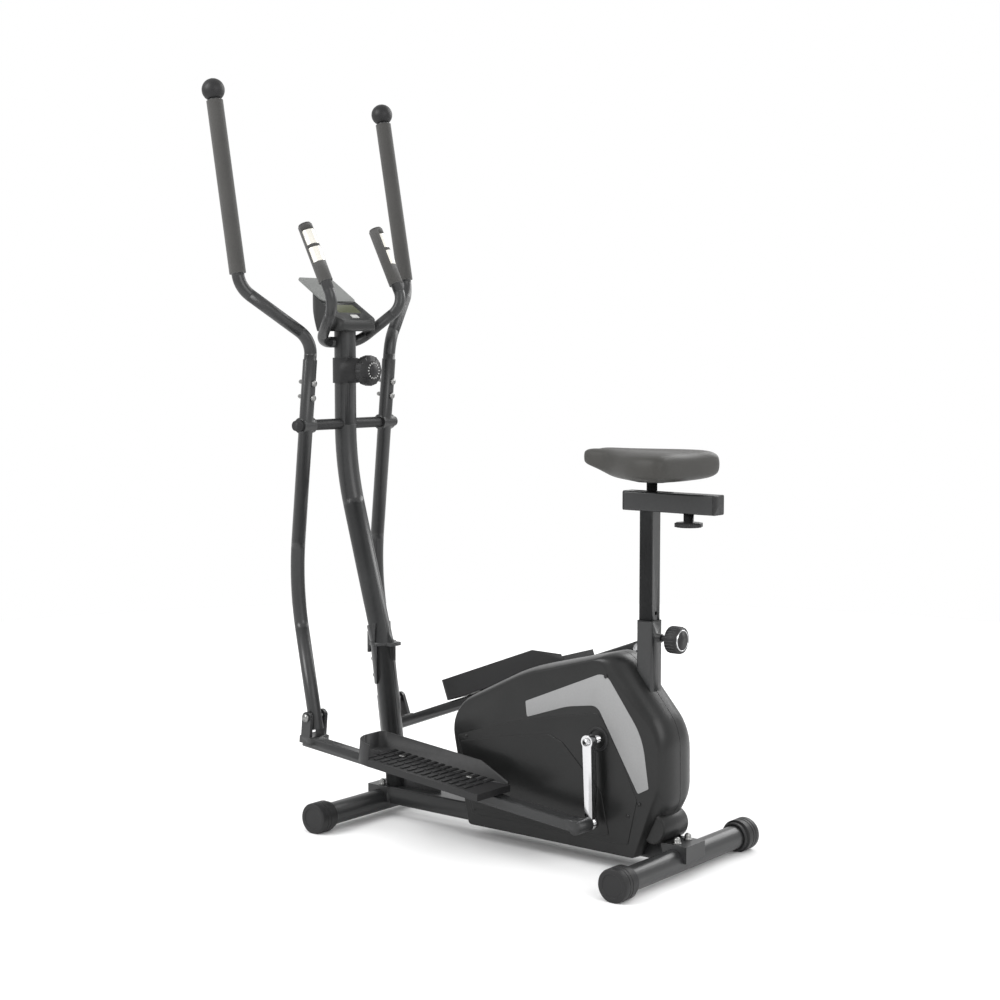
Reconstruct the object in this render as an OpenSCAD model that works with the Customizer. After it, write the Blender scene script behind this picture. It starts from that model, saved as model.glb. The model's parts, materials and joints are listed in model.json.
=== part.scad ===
// Elliptical trainer with a bike saddle.
// X runs from the console (-X) to the saddle (+X), Y is the width, Z is up, floor at Z = 0.

/* [Layout] */
// X of the front stabiliser tube
front_stab_x = -305; // [-330:1:-270]
// Distance between the two stabiliser tubes
wheelbase = 807; // [760:1:980]
// Distance from the crank axis forward to the arm axle
axle_reach = 761; // [700:1:920]
// Height of the arm axle
axle_z = 897; // [860:1:960]
// Distance from the rear stabiliser forward to the crank axis
crank_inset = 172; // [165:1:210]
// Height of the crank axis
crank_z = 267; // [262:1:300]
// Y of the middle of each arm and pedal bar
arm_y = 133; // [130:1:175]

/* [Stabilisers and beam] */
// Length of a stabiliser over its end caps
stab_length = 503; // [420:1:640]
// Diameter of a stabiliser tube
stab_d = 50; // [42:1:60]
// Diameter of an end cap
cap_d = 69; // [64:1:80]
// Length of an end cap
cap_length = 42; // [34:1:60]
// Wall of the steel tubes
tube_wall = 2; // [1.5:0.1:3]
// Width of the base beam
beam_w = 60; // [50:1:70]
// Height of the base beam
beam_h = 40; // [32:1:48]

/* [Post] */
// Diameter of the upright post
post_d = 50; // [42:1:60]
// Forward lean of the lower post in degrees
lower_lean = 7.5; // [5:0.1:10]
// Height of the joint between the lower and upper post
joint_z = 394; // [330:1:470]
// Height of the top of the post
post_top_z = 1110; // [1090:1:1300]
// Centreline radius of the post's bend
post_bend_r = 700; // [500:10:800]

/* [Arms] */
// Distance from the arm axle to the foot pivot
arm_radius = 665.5; // [640:0.1:720]
// Diameter of the lower arm tube
arm_d = 32; // [28:0.5:38]
// Diameter of the handlebar tube that fits in the arm
bar_d = 28.4; // [24:0.1:28.4]
// Diameter of the arm axle
axle_d = 16; // [12:1:20]
// Diameter of the foam grip
grip_d = 37; // [33:1:44]
// Diameter of the ball at the top of the handle
ball_d = 51; // [44:1:60]
// Y of the middle of each moving grip
grip_y = 280; // [240:1:330]

/* [Crank and pedals] */
// Distance from the foot pivot to the crank pin
link_length = 758.6; // [740:0.1:790]
// Crank radius
crank_r = 170; // [150:1:175]
// Angle of the left crank from the front-to-back line
crank_angle = -88; // [-100:1:-80]
// Inner face of each crank from the middle plane
crank_y = 80; // [78:1:84]
// Thickness of a crank
crank_t = 18; // [14:1:20]
// Height of a pedal bar
pedal_bar_h = 25; // [22:1:36]
// Width of a pedal bar
pedal_bar_w = 30; // [25:1:32]
// Drop from the foot pivot to the middle of the pedal bar
pivot_drop = 61; // [58:1:70]
// Drop from the middle of the pedal bar to the crank pin
pin_drop = 3; // [0:1:19]
// Length of a footplate
plate_length = 370; // [340:1:430]
// Width of a footplate
plate_width = 112; // [100:1:142]
// Depth of a footplate's body
plate_depth = 15; // [12:1:20]
// Height of the toe and inner guard above the tread
guard_h = 34; // [26:1:50]

/* [Seat] */
// Distance from the crank axis back to the seat tube
seat_offset = 87; // [84:1:100]
// Side of the square seat tube
seat_tube_w = 38; // [36:1:42]
// Side of the square seat post
seat_post_w = 32; // [28:1:32]
// Height of the top of the seat tube
seat_tube_top = 515; // [490:1:620]
// Height of the underside of the saddle rail at rest
rail_z = 742; // [730:1:760]
// Side of the square saddle rail
rail_w = 40; // [36:1:44]
// Length of the saddle rail
rail_length = 212; // [208:1:260]
// Width of the saddle
saddle_w = 245; // [200:1:290]
// Length of the saddle
saddle_l = 258; // [250:1:340]

/* [Console] */
// Width of the console
console_w = 124; // [110:1:200]
// Tilt of the console's face in degrees
console_tilt = 34; // [25:1:45]
// Half width of the fixed handlebar
fixed_bar_y = 118; // [112:1:122]

/* [Drive] */
// Radius of the drive pulley
pulley_r = 112; // [100:1:118]
// Radius of the flywheel
flywheel_r = 112; // [95:1:116]
// Radius of the flywheel's small pulley
small_pulley_r = 16; // [12:1:20]
// Half width of the cowling
cowl_y = 57; // [55:1:66]
// Wall of the cowling
cowl_wall = 3; // [2:0.5:4]

/* [Hidden] */
$fn = 64;
// Gap between pieces that sit together in one body
seat_gap = 0.1;
// Gap between pieces that move past each other
move_gap = 0.6;
// Radial clearance of a running fit
run_fit = 0.06;

rear_stab_x = front_stab_x + wheelbase;
crank_x = rear_stab_x - crank_inset;
axle_x = crank_x - axle_reach;
stab_z = cap_d / 2 - 1.5;
beam_top = stab_z + 35;
beam_bottom = beam_top - beam_h;
seat_x = crank_x + seat_offset;
crank_axis = [crank_x, 0, crank_z];
cut = 1;
elbow_lap = 1;
elbow_ease = 0.03;

// ---- Linkage: each foot pivot lies on the arm's circle and one bar length from its crank pin ----
function pin_at(side) =
    [crank_x - side * crank_r * cos(crank_angle), crank_z - side * crank_r * sin(crank_angle)];
function foot_at(side) =
    let (axle = [axle_x, axle_z], pin = pin_at(side), v = pin - axle, d = norm(v))
    let (a = (arm_radius * arm_radius - link_length * link_length + d * d) / (2 * d))
    let (h = sqrt(arm_radius * arm_radius - a * a), u = v / d)
    axle + u * a + [u[1], -u[0]] * h;
// Rotations about +Y: the arm hangs straight down at 0, the pedal bar is level at 0
function arm_turn(side) =
    let (f = foot_at(side)) -atan2(f[0] - axle_x, axle_z - f[1]);
function link_lean(side) =
    let (f = foot_at(side), p = pin_at(side)) atan2(p[1] - f[1], p[0] - f[0]);
// Angle between a pedal bar and the line from its foot pivot to its crank pin
bar_to_pin = asin((pivot_drop + pin_drop) / link_length);
function pedal_turn(side) = -link_lean(side) - bar_to_pin;

// ---- Helpers ----
module along(p, q) {
    v = q - p;
    translate(p)
        rotate([0, acos(v[2] / norm(v)), atan2(v[1], v[0])])
            children();
}

module rod(p, q, r) {
    along(p, q)
        cylinder(r = r, h = norm(q - p));
}

function unit(v) = v / norm(v);
function bend_tangent(a, b, c, bend_r) =
    bend_r * tan(acos(unit(b - a) * unit(c - b)) / 2);

// Round bar along a list of points, with an arc of bend_r at each inner point
module bent_rod(points, bend_r, r) {
    last = len(points) - 1;
    for (i = [0:last - 1]) {
        dir = unit(points[i + 1] - points[i]);
        lead = i == 0 ? 0 : bend_tangent(points[i - 1], points[i], points[i + 1], bend_r);
        tail = i == last - 1 ? 0 : bend_tangent(points[i], points[i + 1], points[i + 2], bend_r);
        rod(points[i] + dir * lead, points[i + 1] - dir * tail, r);
    }
    for (i = [1:1:last - 1])
        elbow(points[i - 1], points[i], points[i + 1], bend_r, r);
}

// The arc is a hair thinner than the straights and runs a little way inside each of them
module elbow(a, b, c, bend_r, r) {
    u = unit(b - a);
    w = unit(c - b);
    turn = acos(u * w);
    lap = elbow_lap / bend_r * 180 / PI;
    inward = unit(w - u * cos(turn));
    centre = b - u * bend_r * tan(turn / 2) + inward * bend_r;
    side = cross(-inward, u);
    multmatrix([
        [-inward[0], u[0], side[0], centre[0]],
        [-inward[1], u[1], side[1], centre[1]],
        [-inward[2], u[2], side[2], centre[2]],
        [0, 0, 0, 1]])
        rotate([0, 0, -lap])
            rotate_extrude(angle = turn + 2 * lap)
                translate([bend_r, 0])
                    circle(r = r - elbow_ease);
}

function stretched(points, more) =
    let (last = len(points) - 1)
    [for (i = [0:last])
        i == 0 ? points[0] - unit(points[1] - points[0]) * more
        : i == last ? points[last] + unit(points[last] - points[last - 1]) * more
        : points[i]];

module bent_tube(points, bend_r, r, wall) {
    difference() {
        bent_rod(points, bend_r, r);
        bent_rod(stretched(points, cut), bend_r, r - wall);
    }
}

module y_cylinder(r, from_y, to_y) {
    translate([0, from_y, 0])
        rotate([-90, 0, 0])
            cylinder(r = r, h = to_y - from_y);
}

module rounded_square(size, r) {
    w = size[0] / 2 - r;
    h = size[1] / 2 - r;
    square([size[0] - 2 * r, size[1]], center = true);
    square([size[0], size[1] - 2 * r], center = true);
    for (sx = [-1, 1], sy = [-1, 1])
        translate([sx * w, sy * h])
            circle(r = r, $fn = 32);
}

module square_tube(w, wall, h, corner = 4) {
    linear_extrude(h)
        difference() {
            rounded_square([w, w], corner);
            rounded_square([w - 2 * wall, w - 2 * wall], corner - wall / 2);
        }
}

// Dome nut with a washer, along +Z from the seating face
module dome_head(r, h) {
    cylinder(r = r + 2, h = 1.5);
    translate([0, 0, 1.5])
        cylinder(r = r, h = h);
    translate([0, 0, 1.5 + h])
        intersection() {
            sphere(r = r, $fn = 32);
            translate([-r, -r, 0])
                cube([2 * r, 2 * r, r]);
        }
}

// ---- Base ----
stab_bolt_y = 20;
stab_bolt_r = 4;
saddle_half = stab_d / 2 + 7;

module stabiliser_bolt_holes(x) {
    for (sy = [-1, 1])
        translate([x, sy * stab_bolt_y, -cut])
            cylinder(r = stab_bolt_r + seat_gap, h = beam_top + 2 * cut);
}

module base_beam() {
    inner = [beam_w - 2 * tube_wall, beam_h - 2 * tube_wall];
    color("#262727")
        difference() {
            union() {
                translate([front_stab_x, 0, (beam_top + beam_bottom) / 2])
                    rotate([90, 0, 90])
                        linear_extrude(wheelbase)
                            rounded_square([beam_w, beam_h], 4);
                for (x = [front_stab_x, rear_stab_x])
                    translate([x - saddle_half, -beam_w / 2 - 5, stab_z])
                        cube([2 * saddle_half, beam_w + 10, beam_top - stab_z]);
            }
            translate([front_stab_x + saddle_half, 0, (beam_top + beam_bottom) / 2])
                rotate([90, 0, 90])
                    linear_extrude(wheelbase - 2 * saddle_half)
                        rounded_square(inner, 3);
            for (x = [front_stab_x, rear_stab_x]) {
                translate([x, 0, stab_z])
                    y_cylinder(stab_d / 2 + seat_gap, -beam_w, beam_w);
                translate([x, 0, stab_z - saddle_half])
                    translate([-saddle_half, -beam_w, 0])
                        cube([2 * saddle_half, 2 * beam_w, saddle_half]);
                stabiliser_bolt_holes(x);
            }
        }
}

module stabiliser(x) {
    half = stab_length / 2 - cap_length + 30;
    color("#2a2b2b")
        difference() {
            translate([x, 0, stab_z])
                y_cylinder(stab_d / 2, -half, half);
            translate([x, 0, stab_z])
                y_cylinder(stab_d / 2 - tube_wall, -half - cut, half + cut);
            stabiliser_bolt_holes(x);
        }
}

module front_stabiliser() { stabiliser(front_stab_x); }
module rear_stabiliser() { stabiliser(rear_stab_x); }

// Stepped round cap with a flat sole, its cup over the tube's end
module stabiliser_cap(x, side) {
    end = stab_length / 2;
    collar = 10;
    translate([x, 0, stab_z])
        scale([1, side, 1])
            difference() {
                union() {
                    y_cylinder(cap_d / 2, end - cap_length, end);
                    y_cylinder(cap_d / 2 - 4, end - cap_length - collar, end - cap_length);
                }
                y_cylinder(stab_d / 2 + seat_gap, end - cap_length - collar - cut,
                    end - cap_length + 30 + seat_gap);
                translate([-cap_d, 0, -stab_z - cap_d])
                    cube([2 * cap_d, stab_length, cap_d]);
            }
}

module stabiliser_caps() {
    color("#1d1e1e")
        for (x = [front_stab_x, rear_stab_x], side = [-1, 1])
            stabiliser_cap(x, side);
}

module stabiliser_bolts() {
    grip_bottom = stab_z - stab_d / 2 + tube_wall + 1;
    color("silver")
        for (x = [front_stab_x, rear_stab_x], sy = [-1, 1])
            translate([x, sy * stab_bolt_y, 0]) {
                translate([0, 0, grip_bottom])
                    cylinder(r = stab_bolt_r, h = beam_top + 1.5 - grip_bottom);
                translate([0, 0, beam_top])
                    dome_head(7, 5);
            }
}

// ---- Post ----
lower_foot = [axle_x + 154, 0, beam_top];
post_r = post_d / 2;
lower_top = [lower_foot[0] - tan(lower_lean) * (joint_z - beam_top), 0, joint_z];
post_bend = [axle_x - 2, 0, axle_z - 97];
post_top = [axle_x - 2, 0, post_top_z];
flange_t = 4;

module lower_post_path(r, top_more = 0) {
    axis = unit(lower_top - lower_foot);
    rod(lower_foot - axis * 20, lower_top + axis * top_more, r);
}

// Flange plate between the posts, sticking out at the back
module joint_flange(z0) {
    translate([lower_top[0], 0, z0])
        linear_extrude(flange_t)
            union() {
                circle(r = post_r + 6);
                translate([0, -16])
                    square([post_r + 16, 32]);
            }
}

module lower_post() {
    gusset_t = 6;
    color("#303131")
        difference() {
            union() {
                intersection() {
                    lower_post_path(post_r, 20);
                    translate([lower_top[0] - 200, -100, beam_top])
                        cube([500, 200, joint_z - flange_t - beam_top]);
                }
                joint_flange(joint_z - flange_t);
                translate([0, gusset_t / 2, 0])
                    rotate([90, 0, 0])
                        linear_extrude(gusset_t)
                            polygon([
                                [lower_foot[0], beam_top], [lower_foot[0] + 130, beam_top],
                                [lower_foot[0] + 130, beam_top + 8], [lower_foot[0] + 40, beam_top + 42],
                                [lower_foot[0], beam_top + 60]]);
                translate([lower_foot[0] - post_r - 22, -5, beam_top + 118])
                    rotate([0, -lower_lean, 0])
                        cube([12, 10, 84]);
                translate([lower_top[0] + post_r - 4, -5, joint_z - flange_t - 34])
                    cube([14, 10, 34]);
            }
            lower_post_path(post_r - tube_wall, 60);
            joint_bolt_holes();
        }
}

module upper_post() {
    start = unit(post_bend - lower_top);
    color("#333434")
        difference() {
            union() {
                intersection() {
                    bent_rod([lower_top - start * 30, post_bend, post_top], post_bend_r, post_r);
                    translate([axle_x - 200, -100, joint_z])
                        cube([500, 200, post_top_z - joint_z]);
                }
                joint_flange(joint_z);
                translate([lower_top[0] + post_r - 12, 3, joint_z + flange_t])
                    rotate([90, 0, 0])
                        linear_extrude(6)
                            polygon([[0, 0], [20, 0], [-4, 40], [-8, 40]]);
            }
            bent_rod([lower_top - start * 60, post_bend, post_top + [0, 0, cut]],
                post_bend_r, post_r - tube_wall);
            translate([axle_x, 0, axle_z])
                y_cylinder(sleeve_r + seat_gap, -post_d, post_d);
            translate([fixed_cross[0], 0, fixed_cross[2]])
                y_cylinder(fixed_r + seat_gap, -post_d, post_d);
            joint_bolt_holes();
        }
}

bracket_low = 92;
bracket_high = 46;
bracket_t = 4;
joint_bolt_r = 4;
joint_bolt_drop = [74, 36];

// Axes of the bracket's bolts: two from the front, one from each side
module joint_bolt_axes() {
    axis = unit(lower_top - lower_foot);
    for (d = joint_bolt_drop)
        translate(lower_top - axis * d)
            rotate([0, -90 - lower_lean, 0])
                children();
}

module joint_bolt_holes() {
    joint_bolt_axes()
        cylinder(r = joint_bolt_r + seat_gap, h = post_d);
}

// Half collar that wraps the front of both posts across the joint
module post_joint_bracket() {
    axis = unit(lower_top - lower_foot);
    up = unit(post_bend - lower_top);
    low_end = lower_top - axis * bracket_low;
    color("#222323")
        difference() {
            union() {
                intersection() {
                    rod(low_end, lower_top, post_r + bracket_t);
                    translate([lower_top[0] - 100, -60, joint_z - 200])
                        cube([106, 120, 200 - flange_t - seat_gap]);
                }
                intersection() {
                    rod(lower_top, lower_top + up * bracket_high, post_r + bracket_t);
                    translate([lower_top[0] - 106, -60, joint_z + flange_t + seat_gap])
                        cube([106, 120, 200]);
                }
                translate([lower_top[0] - post_r - 12, -13, joint_z - 24])
                    cube([6, 26, 48]);
            }
            rod(low_end - axis * 9, lower_top + axis * 30, post_r + seat_gap);
            rod(lower_top - up * 30, lower_top + up * (bracket_high + 9), post_r + seat_gap);
            translate([0, 0, joint_z - flange_t - seat_gap])
                translate([lower_top[0], 0, 0])
                    cylinder(r = post_r + 6 + seat_gap, h = 2 * (flange_t + seat_gap));
            joint_bolt_holes();
        }
}

module post_joint_bolts() {
    color("#8d8d8b")
        joint_bolt_axes() {
            cylinder(r = joint_bolt_r, h = post_r + bracket_t + 1);
            translate([0, 0, post_r + bracket_t + seat_gap])
                dome_head(6, 4);
        }
}

// ---- Arm axle ----
sleeve_r = 12.5;
bush_half = 19;
sleeve_end = arm_y - bush_half - move_gap;

module at_axle() {
    translate([axle_x, 0, axle_z])
        children();
}

module axle_sleeve() {
    color("#1e1f1f")
        at_axle()
            difference() {
                y_cylinder(sleeve_r, -sleeve_end, sleeve_end);
                y_cylinder(axle_d / 2 + seat_gap, -sleeve_end - cut, sleeve_end + cut);
            }
}

axle_end = arm_y + bush_half + move_gap;

module pivot_axle() {
    color("silver")
        at_axle()
            y_cylinder(axle_d / 2, -axle_end - 10, axle_end + 10);
}

module axle_caps() {
    color("#1b1c1c")
        at_axle()
            for (side = [-1, 1])
                scale([1, side, 1])
                    difference() {
                        union() {
                            y_cylinder(sleeve_r + 1.5, axle_end, axle_end + 6);
                            y_cylinder(sleeve_r - 1, axle_end + 6, axle_end + 14);
                        }
                        y_cylinder(axle_d / 2 + seat_gap, axle_end - cut, axle_end + 10 + seat_gap);
                    }
}

// ---- Swinging arms, drawn hanging straight down from the axle at the origin ----
arm_bend_r = 700;
arm_lean = 7.6;
arm_low = [0, 0, -arm_radius];
arm_knee = [-364 * tan(arm_lean), 0, -364];
arm_top = [148 * tan(arm_lean), 0, 148];
arm_overlap = 128;
arm_wall = (arm_d - bar_d) / 2 - 0.1;
arm_bolt_up = [63, 96];
arm_bolt_r = 3.5;

function arm_line(k) = arm_top * k / arm_top[2];

module on_arm(side) {
    at_axle()
        rotate([0, arm_turn(side), 0])
            translate([0, side * arm_y, 0])
                children();
}

module arm_bolt_axes() {
    for (k = arm_bolt_up)
        translate(arm_line(k))
            rotate([0, -90 + arm_lean, 0])
                children();
}

module arm_bolt_holes() {
    arm_bolt_axes()
        translate([0, 0, -arm_d])
            cylinder(r = arm_bolt_r + seat_gap, h = 2 * arm_d);
}

bush_r = arm_d / 2 + 2;

module swing_arm(side) {
    foot = arm_low + unit(arm_low - arm_knee) * 30;
    color("#343535")
        on_arm(side)
            difference() {
                union() {
                    bent_tube([foot, arm_knee, arm_top], arm_bend_r, arm_d / 2, arm_wall);
                    y_cylinder(bush_r, -bush_half, bush_half);
                }
                y_cylinder(axle_d / 2 + run_fit, -bush_half - cut, bush_half + cut);
                translate([0, 0, -arm_radius])
                    y_cylinder(foot_pin_r + run_fit, -arm_d, arm_d);
                arm_bolt_holes();
            }
}

module left_arm() { swing_arm(-1); }
module right_arm() { swing_arm(1); }

handle_bend_r = 62;
handle_low = arm_line(arm_top[2] - arm_overlap);
handle_shoulder = arm_line(192);
handle_hip = [-46, grip_y - arm_y, 310];
handle_top = [-108, grip_y - arm_y, 740];
grip_bottom_up = bend_tangent(handle_shoulder, handle_hip, handle_top, handle_bend_r) + 2;

function mirrored(points, side) = [for (p = points) [p[0], side * p[1], p[2]]];

module handlebar(side) {
    path = mirrored([handle_low, handle_shoulder, handle_hip, handle_top], side);
    color("#373838")
        on_arm(side)
            difference() {
                bent_tube(path, handle_bend_r, bar_d / 2, 2);
                arm_bolt_holes();
            }
}

module left_handlebar() { handlebar(-1); }
module right_handlebar() { handlebar(1); }

module grip(side) {
    points = mirrored([handle_hip, handle_top], side);
    dir = unit(points[1] - points[0]);
    color("#4a4a48")
        on_arm(side)
            difference() {
                rod(points[0] + dir * grip_bottom_up, points[1] - dir * 16, grip_d / 2);
                rod(points[0] + dir * (grip_bottom_up - cut), points[1], bar_d / 2 + seat_gap);
            }
}

module left_grip() { grip(-1); }
module right_grip() { grip(1); }

module handle_ball(side) {
    points = mirrored([handle_hip, handle_top], side);
    dir = unit(points[1] - points[0]);
    centre = points[1] + dir * 8;
    color("#242525")
        on_arm(side)
            difference() {
                translate(centre)
                    sphere(r = ball_d / 2);
                rod(points[1] - dir * 60, points[1] + dir * seat_gap, bar_d / 2 + seat_gap);
                rod(points[1] - dir * 60, points[1] - dir * (16 - seat_gap), grip_d / 2 + seat_gap);
            }
}

module left_handle_ball() { handle_ball(-1); }
module right_handle_ball() { handle_ball(1); }

// Bolt heads at the back, dome nuts at the front
module arm_bolts(side) {
    color("#8d8d8b")
        on_arm(side)
            arm_bolt_axes() {
                translate([0, 0, -arm_d / 2 - 1])
                    cylinder(r = arm_bolt_r, h = arm_d + 2);
                translate([0, 0, arm_d / 2])
                    dome_head(5, 7);
                translate([0, 0, -arm_d / 2])
                    rotate([180, 0, 0])
                        cylinder(r = 7, h = 4);
            }
}

module left_arm_bolts() { arm_bolts(-1); }
module right_arm_bolts() { arm_bolts(1); }

// ---- Pedals, drawn level with the foot pivot at the origin ----
foot_pin_r = 6;
ear_gap = arm_d / 2 + 3;
ear_t = 9;
ear_w = 27;
bar_front = -20;
sleeve_y = arm_y - crank_y - crank_t - 0.8;
sleeve_d = 28;
bar_top = -pivot_drop + pedal_bar_h / 2;

module on_pedal(side) {
    f = foot_at(side);
    translate([f[0], side * arm_y, f[1]])
        rotate([0, pedal_turn(side), 0])
            scale([1, side, 1])
                children();
}

// Crank pin in the pedal's own frame
function pin_on_pedal() = [link_length * cos(bar_to_pin), -pivot_drop - pin_drop];

module pedal_bar_profile(shrink = 0) {
    rounded_square([pedal_bar_w - 2 * shrink, pedal_bar_h - 2 * shrink], 4 - shrink / 2);
}

// Tube with its clevis at the front and the crank sleeve across its rear end
module pedal_bar(side) {
    pin = pin_on_pedal();
    block_foot = min(pin[1], bar_top - pedal_bar_h + tube_wall);
    color("#2f3030")
        on_pedal(side)
            difference() {
                union() {
                    translate([bar_front, 0, -pivot_drop])
                        rotate([90, 0, 90])
                            linear_extrude(pin[0] - 16 - bar_front)
                                pedal_bar_profile();
                    clevis();
                    translate([pin[0], 0, pin[1]])
                        y_cylinder(sleeve_d / 2, -sleeve_y, pedal_bar_w / 2);
                    translate([pin[0] - 24, -pedal_bar_w / 2, block_foot])
                        cube([24, pedal_bar_w, bar_top - block_foot]);
                }
                translate([bar_front + 30, 0, -pivot_drop])
                    rotate([90, 0, 90])
                        linear_extrude(pin[0] - 70 - bar_front)
                            pedal_bar_profile(tube_wall);
                translate([pin[0], 0, pin[1]])
                    y_cylinder(sleeve_d / 2 - 5, -sleeve_y - cut, pedal_bar_w / 2 - 4);
                y_cylinder(foot_pin_r + seat_gap, -60, 60);
                plate_bolt_axes()
                    translate([0, 0, -12])
                        cylinder(r = plate_bolt_r + seat_gap, h = 60);
            }
}

module clevis() {
    base_top = bar_top + 4;
    half = ear_gap + ear_t;
    translate([-ear_w / 2 - 4, -half, bar_top - 12])
        cube([ear_w + 12, 2 * half, base_top - bar_top + 12]);
    for (sy = [-1, 1])
        translate([0, sy * (ear_gap + ear_t / 2) + ear_t / 2, 0])
            rotate([90, 0, 0])
                linear_extrude(ear_t) {
                    circle(r = ear_w / 2);
                    translate([-ear_w / 2, bar_top - 12])
                        square([ear_w, -bar_top + 12]);
                }
    translate([-ear_w / 2 - 14, -9, -pivot_drop])
        rotate([0, 90, 0])
            translate([0, 9, 0])
                cylinder(r = 9, h = 14);
}

module left_pedal_bar() { pedal_bar(-1); }
module right_pedal_bar() { pedal_bar(1); }

// Pivot pin with a head outside each ear
module foot_pin(side) {
    half = ear_gap + ear_t;
    color("#8d8d8b")
        on_pedal(side) {
            y_cylinder(foot_pin_r, -half - 1, half + 1);
            y_cylinder(9, half, half + 5);
            y_cylinder(9, -half - 5, -half);
        }
}

module left_foot_pin() { foot_pin(-1); }
module right_foot_pin() { foot_pin(1); }

plate_front = 182;
plate_inner = -(arm_y - crank_y - crank_t - 5);
spacer_h = 3;
plate_bottom = bar_top + spacer_h;
tread_z = plate_bottom + plate_depth;
plate_wall = 3;
plate_floor = 4;
plate_bolt_r = 4;
plate_bolt_at = [0.24, 0.76];

module plate_bolt_axes() {
    for (k = plate_bolt_at)
        translate([plate_front + plate_length * k, 0, bar_top])
            children();
}

// Plan outline: straight inner side, rounded toe, squared heel
module plate_outline(shrink = 0) {
    toe_r = 62 - shrink;
    x0 = plate_front + shrink;
    y0 = plate_inner + shrink;
    w = plate_width - 2 * shrink;
    l = plate_length - 2 * shrink;
    inner_r = 14;
    intersection() {
        union() {
            translate([x0 + toe_r, y0])
                square([l - toe_r, w]);
            translate([x0, y0 + inner_r])
                square([toe_r, w - toe_r - inner_r]);
            translate([x0 + inner_r, y0])
                square([toe_r, w - toe_r]);
            translate([x0 + inner_r, y0 + inner_r])
                circle(r = inner_r);
            translate([x0 + toe_r, y0 + w - toe_r])
                circle(r = toe_r);
        }
        translate([x0 - cut, y0])
            square([l + 2 * cut, w]);
    }
}

// Where the guard stands: round the toe and along the inner side, sloping down at the heel
module guard_side_profile() {
    x0 = plate_front;
    polygon([
        [x0 - cut, tread_z - plate_depth], [x0 + plate_length + cut, tread_z - plate_depth],
        [x0 + plate_length + cut, tread_z + 2], [x0 + plate_length * 0.78, tread_z + guard_h],
        [x0 - cut, tread_z + guard_h]]);
}

module footplate(side) {
    toe_back = plate_front + 62;
    color("#2c2d2d")
        on_pedal(side)
            difference() {
                intersection() {
                    translate([0, 0, plate_bottom])
                        linear_extrude(plate_depth + guard_h)
                            plate_outline();
                    translate([0, 300, 0])
                        rotate([90, 0, 0])
                            linear_extrude(600)
                                guard_side_profile();
                }
                translate([0, 0, tread_z])
                    linear_extrude(guard_h + cut)
                        plate_outline(plate_wall);
                translate([toe_back, plate_inner + plate_wall, tread_z])
                    cube([plate_length, plate_width, guard_h + cut]);
                translate([plate_front + plate_length - 2 * plate_wall, plate_inner - cut, tread_z])
                    cube([plate_length, plate_width + 2 * cut, guard_h + cut]);
                translate([0, 0, plate_bottom - cut])
                    linear_extrude(plate_depth - plate_floor + cut)
                        difference() {
                            plate_outline(plate_wall);
                            translate([plate_front, -pedal_bar_w / 2 - 2])
                                square([plate_length, pedal_bar_w + 4]);
                        }
                plate_bolt_axes()
                    cylinder(r = plate_bolt_r + seat_gap, h = 100);
            }
}

module left_footplate() { footplate(-1); }
module right_footplate() { footplate(1); }

// Bolts down through the footplate, with the spacer plates they clamp
module footplate_bolts(side) {
    color("#77787a")
        on_pedal(side)
            plate_bolt_axes() {
                translate([0, 0, -8])
                    cylinder(r = plate_bolt_r, h = tread_z - bar_top + 8);
                translate([0, 0, tread_z - bar_top])
                    cylinder(r = 8, h = 3);
                difference() {
                    translate([-14, -pedal_bar_w / 2 - 6, 0])
                        cube([28, pedal_bar_w + 12, spacer_h]);
                    translate([0, 0, -cut])
                        cylinder(r = plate_bolt_r - 1, h = spacer_h + 2 * cut);
                }
            }
}

module left_footplate_bolts() { footplate_bolts(-1); }
module right_footplate_bolts() { footplate_bolts(1); }

// ---- Crank set ----
boss_r = 14;
bracket_half = 30;
bracket_r = 20;
spindle_r = 8;

module at_crank() {
    translate(crank_axis)
        children();
}

module crank_axle() {
    color("silver")
        at_crank()
            y_cylinder(spindle_r, -crank_y - crank_t - 4, crank_y + crank_t + 4);
}

// Tapered flat arm with a round boss at the axle and a round eye at the pin
module crank_outline() {
    eye_r = 13;
    difference() {
        union() {
            circle(r = boss_r);
            translate([crank_r, 0])
                circle(r = eye_r);
            polygon([[0, -11], [crank_r, -9], [crank_r, 9], [0, 11]]);
        }
        circle(r = spindle_r + seat_gap);
    }
}

module cranks() {
    color("#d8d8d8")
        for (side = [-1, 1])
            at_crank()
                rotate([0, side * crank_angle, 0])
                    translate([0, side * (crank_y + crank_t / 2) + crank_t / 2, 0])
                        rotate([90, 0, 0])
                            linear_extrude(crank_t)
                                crank_outline();
}

pulley_y = 34;
pulley_w = 14;

module drive_pulley() {
    color("#1a1a1a")
        at_crank()
            difference() {
                y_cylinder(pulley_r, pulley_y, pulley_y + pulley_w);
                y_cylinder(pulley_r - 12, pulley_y - cut, pulley_y + 4);
                y_cylinder(pulley_r - 12, pulley_y + pulley_w - 4, pulley_y + pulley_w + cut);
                y_cylinder(spindle_r + seat_gap, 0, 100);
                for (a = [0:60:300])
                    rotate([0, a, 0])
                        translate([pulley_r * 0.56, 0, 0])
                            y_cylinder(pulley_r * 0.18, 0, 100);
            }
}

module crank_support() {
    gap = seat_offset - seat_tube_w / 2;
    color("#3a3b3b")
        at_crank()
            difference() {
                union() {
                    y_cylinder(bracket_r, -bracket_half, bracket_half);
                    for (sy = [-1, 1])
                        translate([0, sy * 15 - 2, -34])
                            cube([gap, 4, 68]);
                }
                y_cylinder(spindle_r + run_fit, -100, 100);
            }
}

// ---- Flywheel and brake ----
flywheel_x = crank_x - 238;
flywheel_z = crank_z - 52;
flywheel_half = 12;
fork_y = [-22, cowl_y - 6];
hub_r = 6;

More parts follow.
